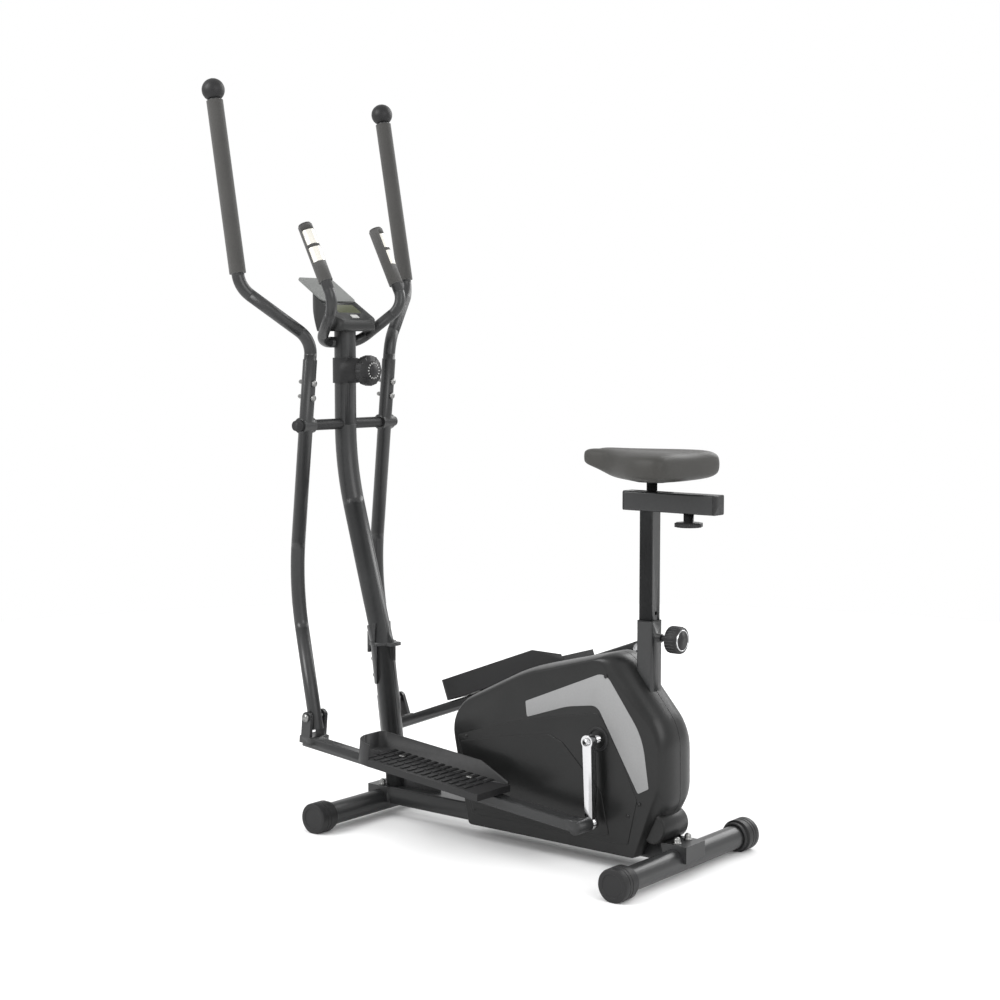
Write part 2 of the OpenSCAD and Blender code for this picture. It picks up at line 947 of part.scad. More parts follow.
module at_flywheel() {
    translate([flywheel_x, 0, flywheel_z])
        children();
}

module flywheel() {
    color("#4c4d4f")
        at_flywheel()
            difference() {
                union() {
                    difference() {
                        y_cylinder(flywheel_r, -flywheel_half, flywheel_half);
                        y_cylinder(flywheel_r - 26, -flywheel_half - cut, -flywheel_half + 8);
                        y_cylinder(flywheel_r - 26, flywheel_half - 8, flywheel_half + cut);
                    }
                    y_cylinder(small_pulley_r, -flywheel_half, pulley_y + pulley_w);
                }
                y_cylinder(hub_r + run_fit, -100, 100);
            }
}

module flywheel_fork() {
    arm_t = 4;
    color("#3a3b3b")
        union() {
            for (y = fork_y)
                translate([flywheel_x - 24, y - arm_t / 2, beam_top])
                    cube([48, arm_t, flywheel_z - beam_top + 20]);
            translate([flywheel_x - 24, fork_y[0] - arm_t / 2, beam_top])
                cube([48, fork_y[1] - fork_y[0] + arm_t, 4]);
            at_flywheel()
                y_cylinder(hub_r, fork_y[0] - 8, fork_y[1] + arm_t / 2);
        }
}

yoke_start = 36;
yoke_sweep = 84;
yoke_inner = flywheel_r + 5;
magnet_t = 6;
yoke_leg_y = fork_y[0] + 2 + seat_gap;

module ring_sector(r_in, r_out, from_a, sweep, y0, y1) {
    translate([0, y1, 0])
        rotate([90, 0, 0])
            rotate([0, 0, from_a])
                rotate_extrude(angle = sweep)
                    translate([r_in, 0])
                        square([r_out - r_in, y1 - y0]);
}

module brake_yoke() {
    color("#565759")
        at_flywheel()
            union() {
                ring_sector(yoke_inner + magnet_t, yoke_inner + magnet_t + 4,
                    yoke_start, yoke_sweep, yoke_leg_y + 2, 15);
                translate([-10, yoke_leg_y, hub_r + 4])
                    cube([20, 4, yoke_inner + magnet_t - hub_r - 2]);
            }
}

module brake_magnets() {
    color("#8a8b8d")
        at_flywheel()
            for (i = [0:3])
                ring_sector(yoke_inner, yoke_inner + magnet_t - seat_gap,
                    yoke_start + 4 + i * 20, 13, -10, 10);
}

belt_t = 3;
belt_gap = 0.3;

// Outline that runs round two pulleys
module belt_outline(c, r1, r2) {
    hull() {
        circle(r = r1);
        translate(c)
            circle(r = r2);
    }
}

module drive_belt() {
    to_small = [flywheel_x - crank_x, flywheel_z - crank_z];
    inner_1 = pulley_r + belt_gap;
    inner_2 = small_pulley_r + belt_gap;
    color("#151515")
        translate([crank_x, pulley_y + pulley_w - 2, crank_z])
            rotate([90, 0, 0])
                linear_extrude(pulley_w - 4)
                    difference() {
                        belt_outline(to_small, inner_1 + belt_t, inner_2 + belt_t);
                        belt_outline(to_small, inner_1, inner_2);
                    }
}

// ---- Cowling: outlines round the crank axis, each corner as [x, z, radius] ----
cowl_side = [
    [-346, -237, 8], [-398, 10, 75], [-195, 110, 400], [-6, 164, 25], [148, 20, 110],
    [148, -72, 80], [90, -237, 8]];
cowl_middle = [
    [-356, -237, 8], [-410, 20, 85], [-200, 124, 400], [39, 185, 50], [164, 34, 110],
    [166, -116, 50], [94, -237, 8]];
corner_steps = 6;
cowl_layers = 6;
cowl_flat_y = 10;

// Angle brought to within half a turn of zero
function wrapped(a) = a - 360 * round(a / 360);

// Replaces each corner [x, z, radius] of an outline by an arc
function rounded_outline(corners) =
    let (n = len(corners))
    [for (i = [0:n - 1])
        let (a = corners[(i + n - 1) % n], b = corners[i], c = corners[(i + 1) % n], r = b[2])
        let (u = unit([a[0] - b[0], a[1] - b[1]]), w = unit([c[0] - b[0], c[1] - b[1]]))
        let (half = acos(u * w) / 2, mid = unit(u + w) * r / sin(half))
        let (to_a = u * r / tan(half) - mid, to_c = w * r / tan(half) - mid)
        let (start = atan2(to_a[1], to_a[0]), turn = wrapped(atan2(to_c[1], to_c[0]) - start))
        for (k = [0:corner_steps])
            [b[0], b[1]] + mid + r * [cos(start + turn * k / corner_steps),
                sin(start + turn * k / corner_steps)]];

function cowl_corners(k) =
    [for (i = [0:len(cowl_side) - 1]) cowl_side[i] + (cowl_middle[i] - cowl_side[i]) * k];

// Share of the way from the side outline to the middle outline at a distance y from the middle
function cowl_share(y) =
    y <= cowl_flat_y ? 1 : cos(asin((y - cowl_flat_y) / (cowl_y - cowl_flat_y)));

// Layers of outline that grow towards the middle, as one half of the shape
module cowl_body(side, shrink) {
    for (i = [0:cowl_layers - 1]) {
        y0 = i == 0 ? 0 : cowl_flat_y + (cowl_y - cowl_flat_y) * sin(90 * i / cowl_layers);
        y1 = cowl_flat_y + (cowl_y - cowl_flat_y) * sin(90 * (i + 1) / cowl_layers);
        inner = i == 0 ? -cut : y0 - shrink - cut;
        translate([crank_x, side > 0 ? y1 - shrink : -inner, crank_z])
            rotate([90, 0, 0])
                linear_extrude(y1 - shrink - inner)
                    offset(delta = -shrink)
                        polygon(rounded_outline(cowl_corners(cowl_share(y0))));
    }
}

// Small round housing low at the back
module cowl_drum(side, shrink) {
    reach = cowl_y - 12 - shrink;
    translate([crank_x + 126, 0, crank_z - 171])
        y_cylinder(34 - shrink, side > 0 ? -cut : -reach, side > 0 ? reach : cut);
}

module cowl_solid(side, shrink) {
    cowl_body(side, shrink);
    cowl_drum(side, shrink);
}

inlay_corners = [
    [-186, 22, 4], [-190, 56, 4], [17, 142, 30], [110, 18, 150], [126, -87, 4],
    [100, -101, 4], [-3, 70, 25], [-80, 58, 200]];
inlay_t = 1.6;

module inlay_prism(side, thick, grow) {
    translate([crank_x, side > 0 ? cowl_y + thick - inlay_t : -cowl_y + inlay_t, crank_z])
        rotate([90, 0, 0])
            linear_extrude(thick)
                offset(delta = grow)
                    polygon(rounded_outline(inlay_corners));
}

screw_at = [[19, 133], [104, -122], [77, -150], [-330, -200], [-352, -40]];
screw_r = 2;

// Left half; the right half is its mirror image
module cowling_half() {
    color("#2b2c2c")
        difference() {
            intersection() {
                cowl_solid(-1, 0);
                translate([crank_x - 600, -200, beam_bottom + 2])
                    cube([1200, 200 - seat_gap, 600]);
            }
            cowl_solid(-1, cowl_wall);
            translate([0, seat_gap, 0])
                inlay_prism(-1, inlay_t + 2 * seat_gap, seat_gap);
            at_crank()
                y_cylinder(boss_r + 4, -100, 100);
            translate([front_stab_x, -beam_w / 2 - seat_gap, 0])
                cube([wheelbase, beam_w + 2 * seat_gap, beam_top + seat_gap]);
            translate([seat_x, 0, crank_z])
                linear_extrude(400)
                    rounded_square([seat_tube_w + 2, seat_tube_w + 2], 4);
            translate([rear_stab_x - saddle_half - 1, -beam_w / 2 - 6, 0])
                cube([100, beam_w + 12, beam_top + 1]);
            screw_holes();
        }
}

module screw_holes() {
    for (p = screw_at)
        translate([crank_x + p[0], 0, crank_z + p[1]])
            y_cylinder(screw_r + seat_gap, -100, 100);
}

module left_cowling() { cowling_half(); }
module right_cowling() { mirror([0, 1, 0]) cowling_half(); }

module cowling_inlays() {
    color("#8e8e8e")
        difference() {
            for (side = [-1, 1])
                inlay_prism(side, inlay_t, 0);
            screw_holes();
        }
}

module cowling_screws() {
    color("#141414")
        for (side = [-1, 1], p = screw_at)
            translate([crank_x + p[0], 0, crank_z + p[1]])
                scale([1, side, 1]) {
                    y_cylinder(screw_r, cowl_y - 12, cowl_y + 0.5);
                    y_cylinder(4, cowl_y + 0.1, cowl_y + 2);
                }
}

// ---- Seat ----
pin_z = seat_tube_top - 33;
seat_pin_r = 4;
boss_out = 12;

module seat_tube() {
    color("#323333")
        difference() {
            union() {
                translate([seat_x, 0, beam_top])
                    square_tube(seat_tube_w, tube_wall, seat_tube_top - beam_top);
                translate([seat_x + seat_tube_w / 2 - 1, 0, pin_z])
                    rotate([0, 90, 0])
                        cylinder(r = 9, h = boss_out + 1);
            }
            translate([seat_x, 0, pin_z])
                rotate([0, 90, 0])
                    cylinder(r = seat_pin_r + run_fit, h = 60);
        }
}

// Plastic bush that lines the mouth of the seat tube
module seat_bush() {
    inner = seat_post_w + 2 * run_fit;
    outer = seat_tube_w - 2 * tube_wall - 2 * seat_gap;
    depth = 26;
    color("#1a1a1a")
        translate([seat_x, 0, seat_tube_top - depth])
            difference() {
                union() {
                    linear_extrude(depth)
                        rounded_square([outer, outer], 3);
                    translate([0, 0, depth + seat_gap])
                        linear_extrude(2)
                            rounded_square([seat_tube_w, seat_tube_w], 4);
                    translate([0, 0, depth])
                        linear_extrude(1)
                            rounded_square([outer, outer], 3);
                }
                translate([0, 0, -cut])
                    linear_extrude(depth + 5)
                        rounded_square([inner, inner], 2.5);
            }
}

post_insert = 150;
rail_x0 = seat_x - 52;
stem_x = seat_x + 4;
stem_r = 11;
clamp_x = seat_x + 93;
clamp_r = 6;
travel_front = 30;
travel_rear = 40;

module slider_slot(x, r, z0, h) {
    translate([0, 0, z0])
        linear_extrude(h) {
            translate([x - travel_front, 0])
                circle(r = r);
            translate([x + travel_rear, 0])
                circle(r = r);
            translate([x - travel_front, -r])
                square([travel_front + travel_rear, 2 * r]);
        }
}

module seat_post() {
    post_bottom = seat_tube_top - post_insert;
    color("#323333")
        difference() {
            union() {
                translate([seat_x, 0, post_bottom])
                    square_tube(seat_post_w, tube_wall, rail_z - post_bottom, 3);
                translate([rail_x0, 0, rail_z + rail_w / 2])
                    rotate([90, 0, 90])
                        square_tube(rail_w, tube_wall, rail_length);
            }
            slider_slot(stem_x, stem_r + move_gap, rail_z + rail_w / 2, rail_w);
            slider_slot(clamp_x, clamp_r + move_gap, rail_z - cut, rail_w / 2);
            for (i = [0:6])
                translate([seat_x, 0, post_bottom + 17 + i * 25])
                    rotate([0, 90, 0])
                        cylinder(r = seat_pin_r + 0.4, h = 60);
        }
}

module rail_caps() {
    inside = rail_w - 2 * tube_wall - 2 * seat_gap;
    color("#1a1a1a")
        translate([0, 0, rail_z + rail_w / 2])
            for (end = [[rail_x0, -1], [rail_x0 + rail_length, 1]])
                translate([end[0], 0, 0])
                    scale([end[1], 1, 1])
                        rotate([90, 0, 90]) {
                            linear_extrude(3)
                                rounded_square([rail_w, rail_w], 4);
                            translate([0, 0, -5])
                                linear_extrude(5)
                                    rounded_square([inside, inside], 3);
                        }
}

carriage_w = rail_w - 2 * tube_wall - 2 * move_gap;
saddle_z = rail_z + rail_w + 22;

// Sliding block inside the rail, with the saddle stem on it
module saddle_carriage() {
    color("#2a2b2b")
        difference() {
            union() {
                translate([stem_x - 18, 0, rail_z + rail_w / 2])
                    rotate([90, 0, 90])
                        linear_extrude(clamp_x - stem_x + 32)
                            rounded_square([carriage_w, carriage_w], 4);
                translate([stem_x, 0, rail_z + rail_w / 2])
                    cylinder(r = stem_r, h = saddle_z - rail_z - rail_w / 2);
            }
            translate([clamp_x, 0, rail_z - cut])
                cylinder(r = clamp_r + run_fit, h = 30);
        }
}

// Saddle: narrow nose at the front, wide at the back
module saddle() {
    nose_x = stem_x - 156;
    rear_x = nose_x + saddle_l;
    color("#3c3b39")
        difference() {
            hull() {
                translate([nose_x + 26, 0, saddle_z + 42])
                    scale([1, 1.15, 0.62])
                        sphere(r = 26, $fn = 32);
                translate([nose_x + saddle_l * 0.42, 0, saddle_z + 30])
                    scale([1, 1.2, 0.5])
                        sphere(r = 58, $fn = 32);
                for (s = [-1, 1])
                    translate([rear_x - 56, s * (saddle_w / 2 - 56), saddle_z + 33])
                        scale([1, 1, 0.55])
                            sphere(r = 56, $fn = 32);
            }
            translate([nose_x - 10, -saddle_w, saddle_z - 60])
                cube([saddle_l + 20, 2 * saddle_w, 60 + seat_gap]);
        }
}

knob_r = 29;

// Lobed hand knob under the rail
module slider_knob() {
    collar_h = 18;
    disc_h = 9;
    color("#1f2020")
        translate([clamp_x, 0, rail_z - move_gap])
            union() {
                translate([0, 0, -collar_h])
                    cylinder(r = 10.5, h = collar_h);
                translate([0, 0, -collar_h - disc_h])
                    cylinder(r = knob_r - 3, h = disc_h);
                for (i = [0:7])
                    rotate([0, 0, i * 45])
                        translate([knob_r - 6, 0, -collar_h - disc_h + 0.5])
                            cylinder(r = 6, h = disc_h - 1);
                translate([0, 0, -1])
                    cylinder(r = clamp_r, h = 22);
            }
}

// Spring-loaded pull knob at the back of the seat tube
module seat_pin() {
    tip = seat_post_w / 2 + move_gap;
    knob_x = seat_tube_w / 2 + boss_out + 22;
    color("#3a3b3b")
        translate([seat_x, 0, pin_z])
            rotate([0, 90, 0]) {
                translate([0, 0, tip])
                    cylinder(r = seat_pin_r, h = knob_x - tip + 1);
                translate([0, 0, seat_tube_w / 2 + boss_out + move_gap])
                    cylinder(r = 6, h = 10);
                translate([0, 0, knob_x])
                    cylinder(r = 27, h = 26);
                translate([0, 0, knob_x + 26])
                    cylinder(r = 19, h = 3);
            }
}

// ---- Fixed handlebar ----
fixed_r = 12.5;
fixed_foam_r = 16.5;
fixed_cross = [axle_x - 20, 62, post_top_z - 25];
fixed_elbow = [axle_x + 76, fixed_bar_y, post_top_z + 62];
fixed_tip = [axle_x - 10, fixed_bar_y, post_top_z + 232];
fixed_bend_r = 45;
foam_from = 0.06;

// Outline of the U bar: its middle runs across the front of the post
function fixed_path() =
    concat(mirrored([fixed_tip, fixed_elbow, fixed_cross], -1), [fixed_cross, fixed_elbow, fixed_tip]);

// One grip's stretch, from just above the elbow to the tip
function grip_span(side) =
    let (p = fixed_elbow + (fixed_tip - fixed_elbow) * (foam_from + fixed_bend_r / 200))
    mirrored([p, fixed_tip], side);

module fixed_bar() {
    color("#2f3030")
        bent_rod(fixed_path(), fixed_bend_r, fixed_r);
}

module fixed_grips() {
    color("#4a4a48")
        for (side = [-1, 1]) {
            span = grip_span(side);
            dir = unit(span[1] - span[0]);
            difference() {
                union() {
                    rod(span[0], span[1] + dir * 4, fixed_foam_r);
                    rod(span[1] + dir * 4, span[1] + dir * 8, fixed_foam_r - 2);
                }
                rod(span[0] - dir * cut, span[1] + dir * seat_gap, fixed_r + seat_gap);
                for (share = pulse_spans)
                    pulse_strip(side, share, fixed_foam_r + 5, fixed_foam_r - 1.5 - seat_gap, seat_gap);
            }
        }
}

pulse_spans = [[0.34, 0.6], [0.66, 0.92]];
pulse_turn = [30, 120];

// Band round the inner side of a grip, between two shares of its length
module pulse_strip(side, share, r_out, r_in, more) {
    span = grip_span(side);
    dir = unit(span[1] - span[0]);
    a = span[0] + (span[1] - span[0]) * share[0] - dir * more;
    b = span[0] + (span[1] - span[0]) * share[1] + dir * more;
    sweep = pulse_turn[1];
    mid = side > 0 ? pulse_turn[0] - 180 : 180 - pulse_turn[0];
    along(a, b)
        rotate([0, 0, mid - sweep / 2 - (more > 0 ? 0.5 : 0)])
            rotate_extrude(angle = sweep + (more > 0 ? 1 : 0))
                translate([r_in, 0])
                    square([r_out - r_in, norm(b - a)]);
}

module pulse_plates() {
    color("#dcdcda")
        for (side = [-1, 1], share = pulse_spans)
            pulse_strip(side, share, fixed_foam_r, fixed_foam_r - 1.5, 0);
}

// ---- Console ----
base_z = post_top_z + seat_gap;
lip_x = axle_x + 43;
lip_h = 24;
console_depth = 112;
panel_rise = tan(console_tilt) * (console_depth - 12);

module console_profile() {
    back = lip_x - console_depth;
    polygon([
        [lip_x, base_z + 6], [lip_x, base_z + lip_h],
        [back + 12, base_z + lip_h + panel_rise], [back, base_z + lip_h + panel_rise - 8],
        [back + 34, base_z], [lip_x - 6, base_z]]);
}

module console_plan() {
    back_r = 36;
    front_r = 14;
    half = console_w / 2;
    hull()
        for (s = [-1, 1]) {
            translate([lip_x - front_r, s * (half - front_r)])
                circle(r = front_r);
            translate([lip_x - console_depth + back_r, s * (half - back_r - 4)])
                circle(r = back_r);
        }
}

// The panel's own frame: -X runs up the slope, Z out of the face, the lip's edge at the origin
module on_panel() {
    translate([lip_x, 0, base_z + lip_h])
        rotate([0, console_tilt, 0])
            children();
}

screen_x = -50;
screen_size = [34, 76];
button_x = -17;
button_size = [12, 22];

module console_housing() {
    window = screen_size + [2 * seat_gap, 2 * seat_gap];
    well = button_size + [2 * move_gap, 2 * move_gap];
    color("#303131")
        difference() {
            intersection() {
                translate([0, console_w, 0])
                    rotate([90, 0, 0])
                        linear_extrude(2 * console_w)
                            console_profile();
                translate([0, 0, base_z - 10])
                    linear_extrude(300)
                        console_plan();
            }
            on_panel() {
                translate([screen_x - window[0] / 2, -window[1] / 2, -2])
                    cube([window[0], window[1], 20]);
                translate([button_x - well[0] / 2, -well[1] / 2, -6])
                    cube([well[0], well[1], 20]);
            }
            bent_rod(fixed_path(), fixed_bend_r, fixed_r + 1);
        }
}

module console_screen() {
    color("#6f7757")
        on_panel()
            translate([screen_x - screen_size[0] / 2, -screen_size[1] / 2, -2 + seat_gap])
                cube([screen_size[0], screen_size[1], 1.6]);
}

module console_button() {
    color("#b9b9b7")
        on_panel()
            translate([button_x, 0, -3])
                linear_extrude(4.5)
                    rounded_square(button_size, 2);
}

rest_w = 112;
rest_l = 98;
rest_t = 4;
rest_from = -76;

// Thin plate on the upper half of the console that a book or tablet leans on
module tablet_rest() {
    color("#9a9b9a")
        on_panel()
            translate([rest_from, 0, seat_gap])
                linear_extrude(rest_t)
                    translate([-rest_l / 2, 0])
                        rounded_square([rest_l, rest_w], 10);
}

// ---- Tension control ----
tension_z = axle_z + 123;
tension_h = 58;
tension_wall = 4;
tension_knob_r = 34;
boss_x = post_r + tension_wall + 34;

module tension_housing() {
    color("#1c1d1d")
        translate([axle_x - 2, 0, tension_z])
            difference() {
                union() {
                    translate([0, 0, -tension_h / 2])
                        cylinder(r = post_r + tension_wall, h = tension_h);
                    rotate([0, 90, 0])
                        cylinder(r = tension_knob_r - 6, h = boss_x);
                }
                translate([0, 0, -tension_h])
                    cylinder(r = post_r + seat_gap, h = 2 * tension_h);
            }
}

module tension_knob() {
    knob_h = 26;
    color("#2a2b2b")
        translate([axle_x - 2 + boss_x + move_gap, 0, tension_z])
            rotate([0, 90, 0]) {
                cylinder(r = tension_knob_r, h = knob_h - 8);
                for (i = [0:11])
                    rotate([0, 0, i * 30])
                        translate([tension_knob_r - 3, 0, 0])
                            cylinder(r = 4, h = knob_h - 8, $fn = 24);
                cylinder(r = tension_knob_r - 12, h = knob_h);
            }
}

base_beam();
lower_post();
upper_post();
post_joint_bracket();
post_joint_bolts();
front_stabiliser();
rear_stabiliser();
stabiliser_caps();
stabiliser_bolts();
axle_sleeve();
pivot_axle();
axle_caps();
left_arm();
left_handlebar();
left_grip();
left_handle_ball();
left_arm_bolts();
right_arm();
right_handlebar();
right_grip();
right_handle_ball();
right_arm_bolts();
left_pedal_bar();
left_foot_pin();
left_footplate();
left_footplate_bolts();
right_pedal_bar();
right_foot_pin();
right_footplate();
right_footplate_bolts();
crank_axle();
cranks();
drive_pulley();
crank_support();
drive_belt();
flywheel();
flywheel_fork();
brake_yoke();
brake_magnets();
left_cowling();
right_cowling();
cowling_inlays();
cowling_screws();
seat_tube();
seat_bush();
seat_post();
rail_caps();
saddle_carriage();
saddle();
slider_knob();
seat_pin();
fixed_bar();
fixed_grips();
pulse_plates();
console_housing();
console_screen();
console_button();
tablet_rest();
tension_housing();
tension_knob();
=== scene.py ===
"""Looks of an elliptical trainer with a bike saddle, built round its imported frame."""

import json
import logging
import math
from dataclasses import dataclass
from enum import Enum
from typing import Iterable, Sequence

import bmesh
import bpy
from mathutils import Matrix, Vector


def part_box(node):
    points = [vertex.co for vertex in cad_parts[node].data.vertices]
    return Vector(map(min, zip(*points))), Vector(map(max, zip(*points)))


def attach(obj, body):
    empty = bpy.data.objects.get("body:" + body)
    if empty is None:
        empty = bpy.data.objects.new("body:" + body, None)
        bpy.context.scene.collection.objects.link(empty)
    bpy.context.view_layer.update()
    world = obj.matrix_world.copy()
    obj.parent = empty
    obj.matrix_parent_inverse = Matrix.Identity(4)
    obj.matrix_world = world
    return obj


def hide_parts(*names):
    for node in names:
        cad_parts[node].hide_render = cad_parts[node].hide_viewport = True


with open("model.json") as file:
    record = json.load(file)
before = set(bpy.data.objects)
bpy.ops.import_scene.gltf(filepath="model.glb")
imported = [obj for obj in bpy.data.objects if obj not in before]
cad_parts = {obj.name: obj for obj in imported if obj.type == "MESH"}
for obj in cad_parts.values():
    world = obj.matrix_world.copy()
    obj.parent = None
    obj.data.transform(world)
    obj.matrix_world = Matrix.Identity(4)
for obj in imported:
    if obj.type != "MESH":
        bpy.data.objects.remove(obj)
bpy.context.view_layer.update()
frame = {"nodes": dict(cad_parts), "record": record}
LOG = logging.getLogger("trainer")
MM = 0.001
SMOOTH_ANGLE = math.radians(32)
WELD = 1e-6
LEFT = -1
RIGHT = 1
Number = float | int
Link = "float | int | Value | bpy.types.NodeSocket | Sequence[float]"


# ---- Shaders ----
class Value:
    """A number that varies over a surface: an output socket with the arithmetic operators."""

    def __init__(self, shader: "Shader", socket: bpy.types.NodeSocket) -> None:
        """Wraps an output socket of a shader's node."""
        self.shader = shader
        self.socket = socket

    def _math(self, operation: str, first: Link, second: Link) -> "Value":
        """Adds a Math node.

        Args:
            operation: the Math node's operation.
            first: its first value or link.
            second: its second value or link.

        Returns:
            The node's result.
        """
        settings = {"operation": operation}
        node = self.shader.node("ShaderNodeMath", settings, {0: first, 1: second})
        return Value(self.shader, node.outputs[0])

    def __add__(self, other: Link) -> "Value":
        """Sum."""
        return self._math("ADD", self, other)

    __radd__ = __add__

    def __mul__(self, other: Link) -> "Value":
        """Product."""
        return self._math("MULTIPLY", self, other)

    __rmul__ = __mul__

    def __sub__(self, other: Link) -> "Value":
        """Difference."""
        return self._math("SUBTRACT", self, other)

    def __rsub__(self, other: Link) -> "Value":
        """Reflected difference."""
        return self._math("SUBTRACT", other, self)

    def __pow__(self, other: Link) -> "Value":
        """Power."""
        return self._math("POWER", self, other)

    def ramp(self, low: Number, high: Number) -> "Value":
        """Stretches low..high to 0..1, clamped."""
        inputs = {"Value": self, "From Min": low, "From Max": high}
        node = self.shader.node("ShaderNodeMapRange", {"clamp": True}, inputs)
        return Value(self.shader, node.outputs[0])


class Shader:
    """One node material while it is being made."""

    def __init__(self, name: str) -> None:
        """Starts an empty material.

        Args:
            name: the material's name.
        """
        self.material = bpy.data.materials.new(name)
        self.material.use_nodes = True
        self.tree = self.material.node_tree
        self.tree.nodes.clear()
        self.place = self.node("ShaderNodeTexCoord").outputs["Object"]

    def node(
        self, kind: str, settings: dict | None = None, inputs: dict | None = None
    ) -> bpy.types.Node:
        """Adds any node.

        Args:
            kind: the node's type.
            settings: attributes that are set first.
            inputs: values or links by socket name or number.

        Returns:
            The node.
        """
        made = self.tree.nodes.new(kind)
        for name, value in (settings or {}).items():
            setattr(made, name, value)
        for name, value in (inputs or {}).items():
            socket = made.inputs[name]
            if isinstance(value, Value):
                self.tree.links.new(value.socket, socket)
            elif isinstance(value, bpy.types.NodeSocket):
                self.tree.links.new(value, socket)
            else:
                socket.default_value = value
        return made

    def noise(
        self, scale: Number, detail: Number = 3, stretch: Sequence[float] | None = None
    ) -> Value:
        """A noise pattern on Object coordinates.

        Args:
            scale: cells per metre.
            detail: octaves.
            stretch: scale along each axis, for streaks.

        Returns:
            The noise, about 0.3 to 0.7.
        """
        place = self.place
        if stretch is not None:
            stretched = {"Vector": place, "Scale": stretch}
            place = self.node("ShaderNodeMapping", None, stretched).outputs[0]
        inputs = {"Vector": place, "Scale": scale, "Detail": detail}
        return Value(self, self.node("ShaderNodeTexNoise", None, inputs).outputs[0])

    def cells(self, scale: Number, feature: str = "F1") -> Value:
        """A cell pattern on Object coordinates: the distance to the nearest cell's point or edge."""
        inputs = {"Vector": self.place, "Scale": scale}
        node = self.node("ShaderNodeTexVoronoi", {"feature": feature}, inputs)
        return Value(self, node.outputs["Distance"])

    def mix(self, factor: Link, first: Link, second: Link) -> bpy.types.NodeSocket:
        """Mixes two colours and returns the colour socket."""
        node = self.node("ShaderNodeMix", {"data_type": "RGBA"}, {0: factor})
        for socket, value in ((node.inputs[6], first), (node.inputs[7], second)):
            if isinstance(value, bpy.types.NodeSocket):
                self.tree.links.new(value, socket)
            else:
                socket.default_value = (*value, 1)
        return node.outputs[2]

    def edges(self, radius: Number) -> tuple[bpy.types.NodeSocket, Value]:
        """Rounds the edges in shading.

        Args:
            radius: radius of the round, in metres.

        Returns:
            The rounded normal, and a mask that is 1 along the edges.
        """
        bevel = self.node("ShaderNodeBevel", {"samples": 4}, {"Radius": radius}).outputs[0]
        flat = self.node("ShaderNodeNewGeometry").outputs["Normal"]
        dot = self.node("ShaderNodeVectorMath", {"operation": "DOT_PRODUCT"}, {0: bevel, 1: flat})
        return bevel, (1 - Value(self, dot.outputs["Value"])).ramp(0.01, 0.16)


class Grain(Enum):
    """What the surface of a finish is like close up."""

    POWDER = "powder coat"
    MOULDED = "spark-eroded moulding"
    FOAM = "closed-cell foam"
    VINYL = "embossed vinyl"
    BRUSHED = "brushed metal"
    POLISHED = "polished metal"
    CAST = "cast metal"
    GLASS = "clear window"


@dataclass(frozen=True)
class Finish:
    """A finish and how it varies."""

    slot: str
    grain: Grain
    colour: tuple[float, float, float]
    roughness: float
    metallic: float = 0.0
    coat: float = 0.0
    mottle: float = 0.25
    wear: tuple[float, float, float] = (0.16, 0.16, 0.165)
    edge: float = 0.0008
    shine: float = 0.3

    def relief(self, shader: Shader) -> tuple[Value, float]:
        """The height pattern of the grain.

        Args:
            shader: the material being made.

        Returns:
            The height, and the depth in metres that 1 stands for.
        """
        if self.grain is Grain.FOAM:
            return shader.cells(900) * 0.7 + shader.noise(420, 4), 0.0007
        if self.grain is Grain.VINYL:
            return shader.cells(520, "DISTANCE_TO_EDGE") ** 0.5 + shader.noise(160, 3) * 0.4, 0.0004
        if self.grain is Grain.MOULDED:
            return shader.noise(1500, 2) + shader.cells(1100) * 0.4, 0.00012
        if self.grain is Grain.BRUSHED:
            return shader.noise(900, 2, (0.05, 1.0, 1.0)), 0.00006
        if self.grain is Grain.CAST:
            return shader.noise(500, 4), 0.0003
        if self.grain is Grain.POWDER:
            return shader.noise(650, 3), 0.00012
        return shader.noise(60, 2), 0.00002

    def make(self) -> bpy.types.Material:
        """Builds the node material and returns it."""
        shader = Shader(self.slot)
        rounded, rim = shader.edges(self.edge)
        cloud = shader.noise(7, 4).ramp(0.3, 0.7)
        speck = shader.noise(240, 3).ramp(0.35, 0.65)
        scuff = shader.noise(38, 5).ramp(0.48, 0.7)
        dark = tuple(c * (1 - self.mottle) for c in self.colour)
        light = tuple(min(1.0, c * (1 + self.mottle)) for c in self.colour)
        base = shader.mix(cloud * 0.7 + speck * 0.3, dark, light)
        base = shader.mix(rim * scuff * 0.55, base, self.wear)
        rough = self.roughness * (0.86 + cloud * 0.16 + speck * 0.1) + scuff * 0.03
        height, depth = self.relief(shader)
        raised = {"Strength": 0.6, "Distance": depth, "Height": height, "Normal": rounded}
        bump = shader.node("ShaderNodeBump", None, raised)
        inputs = {
            "Base Color": base,
            "Roughness": rough,
            "Metallic": self.metallic,
            "Coat Weight": self.coat,
            "Coat Roughness": 0.12,
            "Specular IOR Level": self.shine,
            "Normal": bump.outputs[0],
        }
        surface = shader.node("ShaderNodeBsdfPrincipled", None, inputs)
        if self.grain is Grain.FOAM:
            surface.inputs["Sheen Weight"].default_value = 0.25
        out = shader.node("ShaderNodeOutputMaterial")
        shader.tree.links.new(surface.outputs[0], out.inputs[0])
        return shader.material


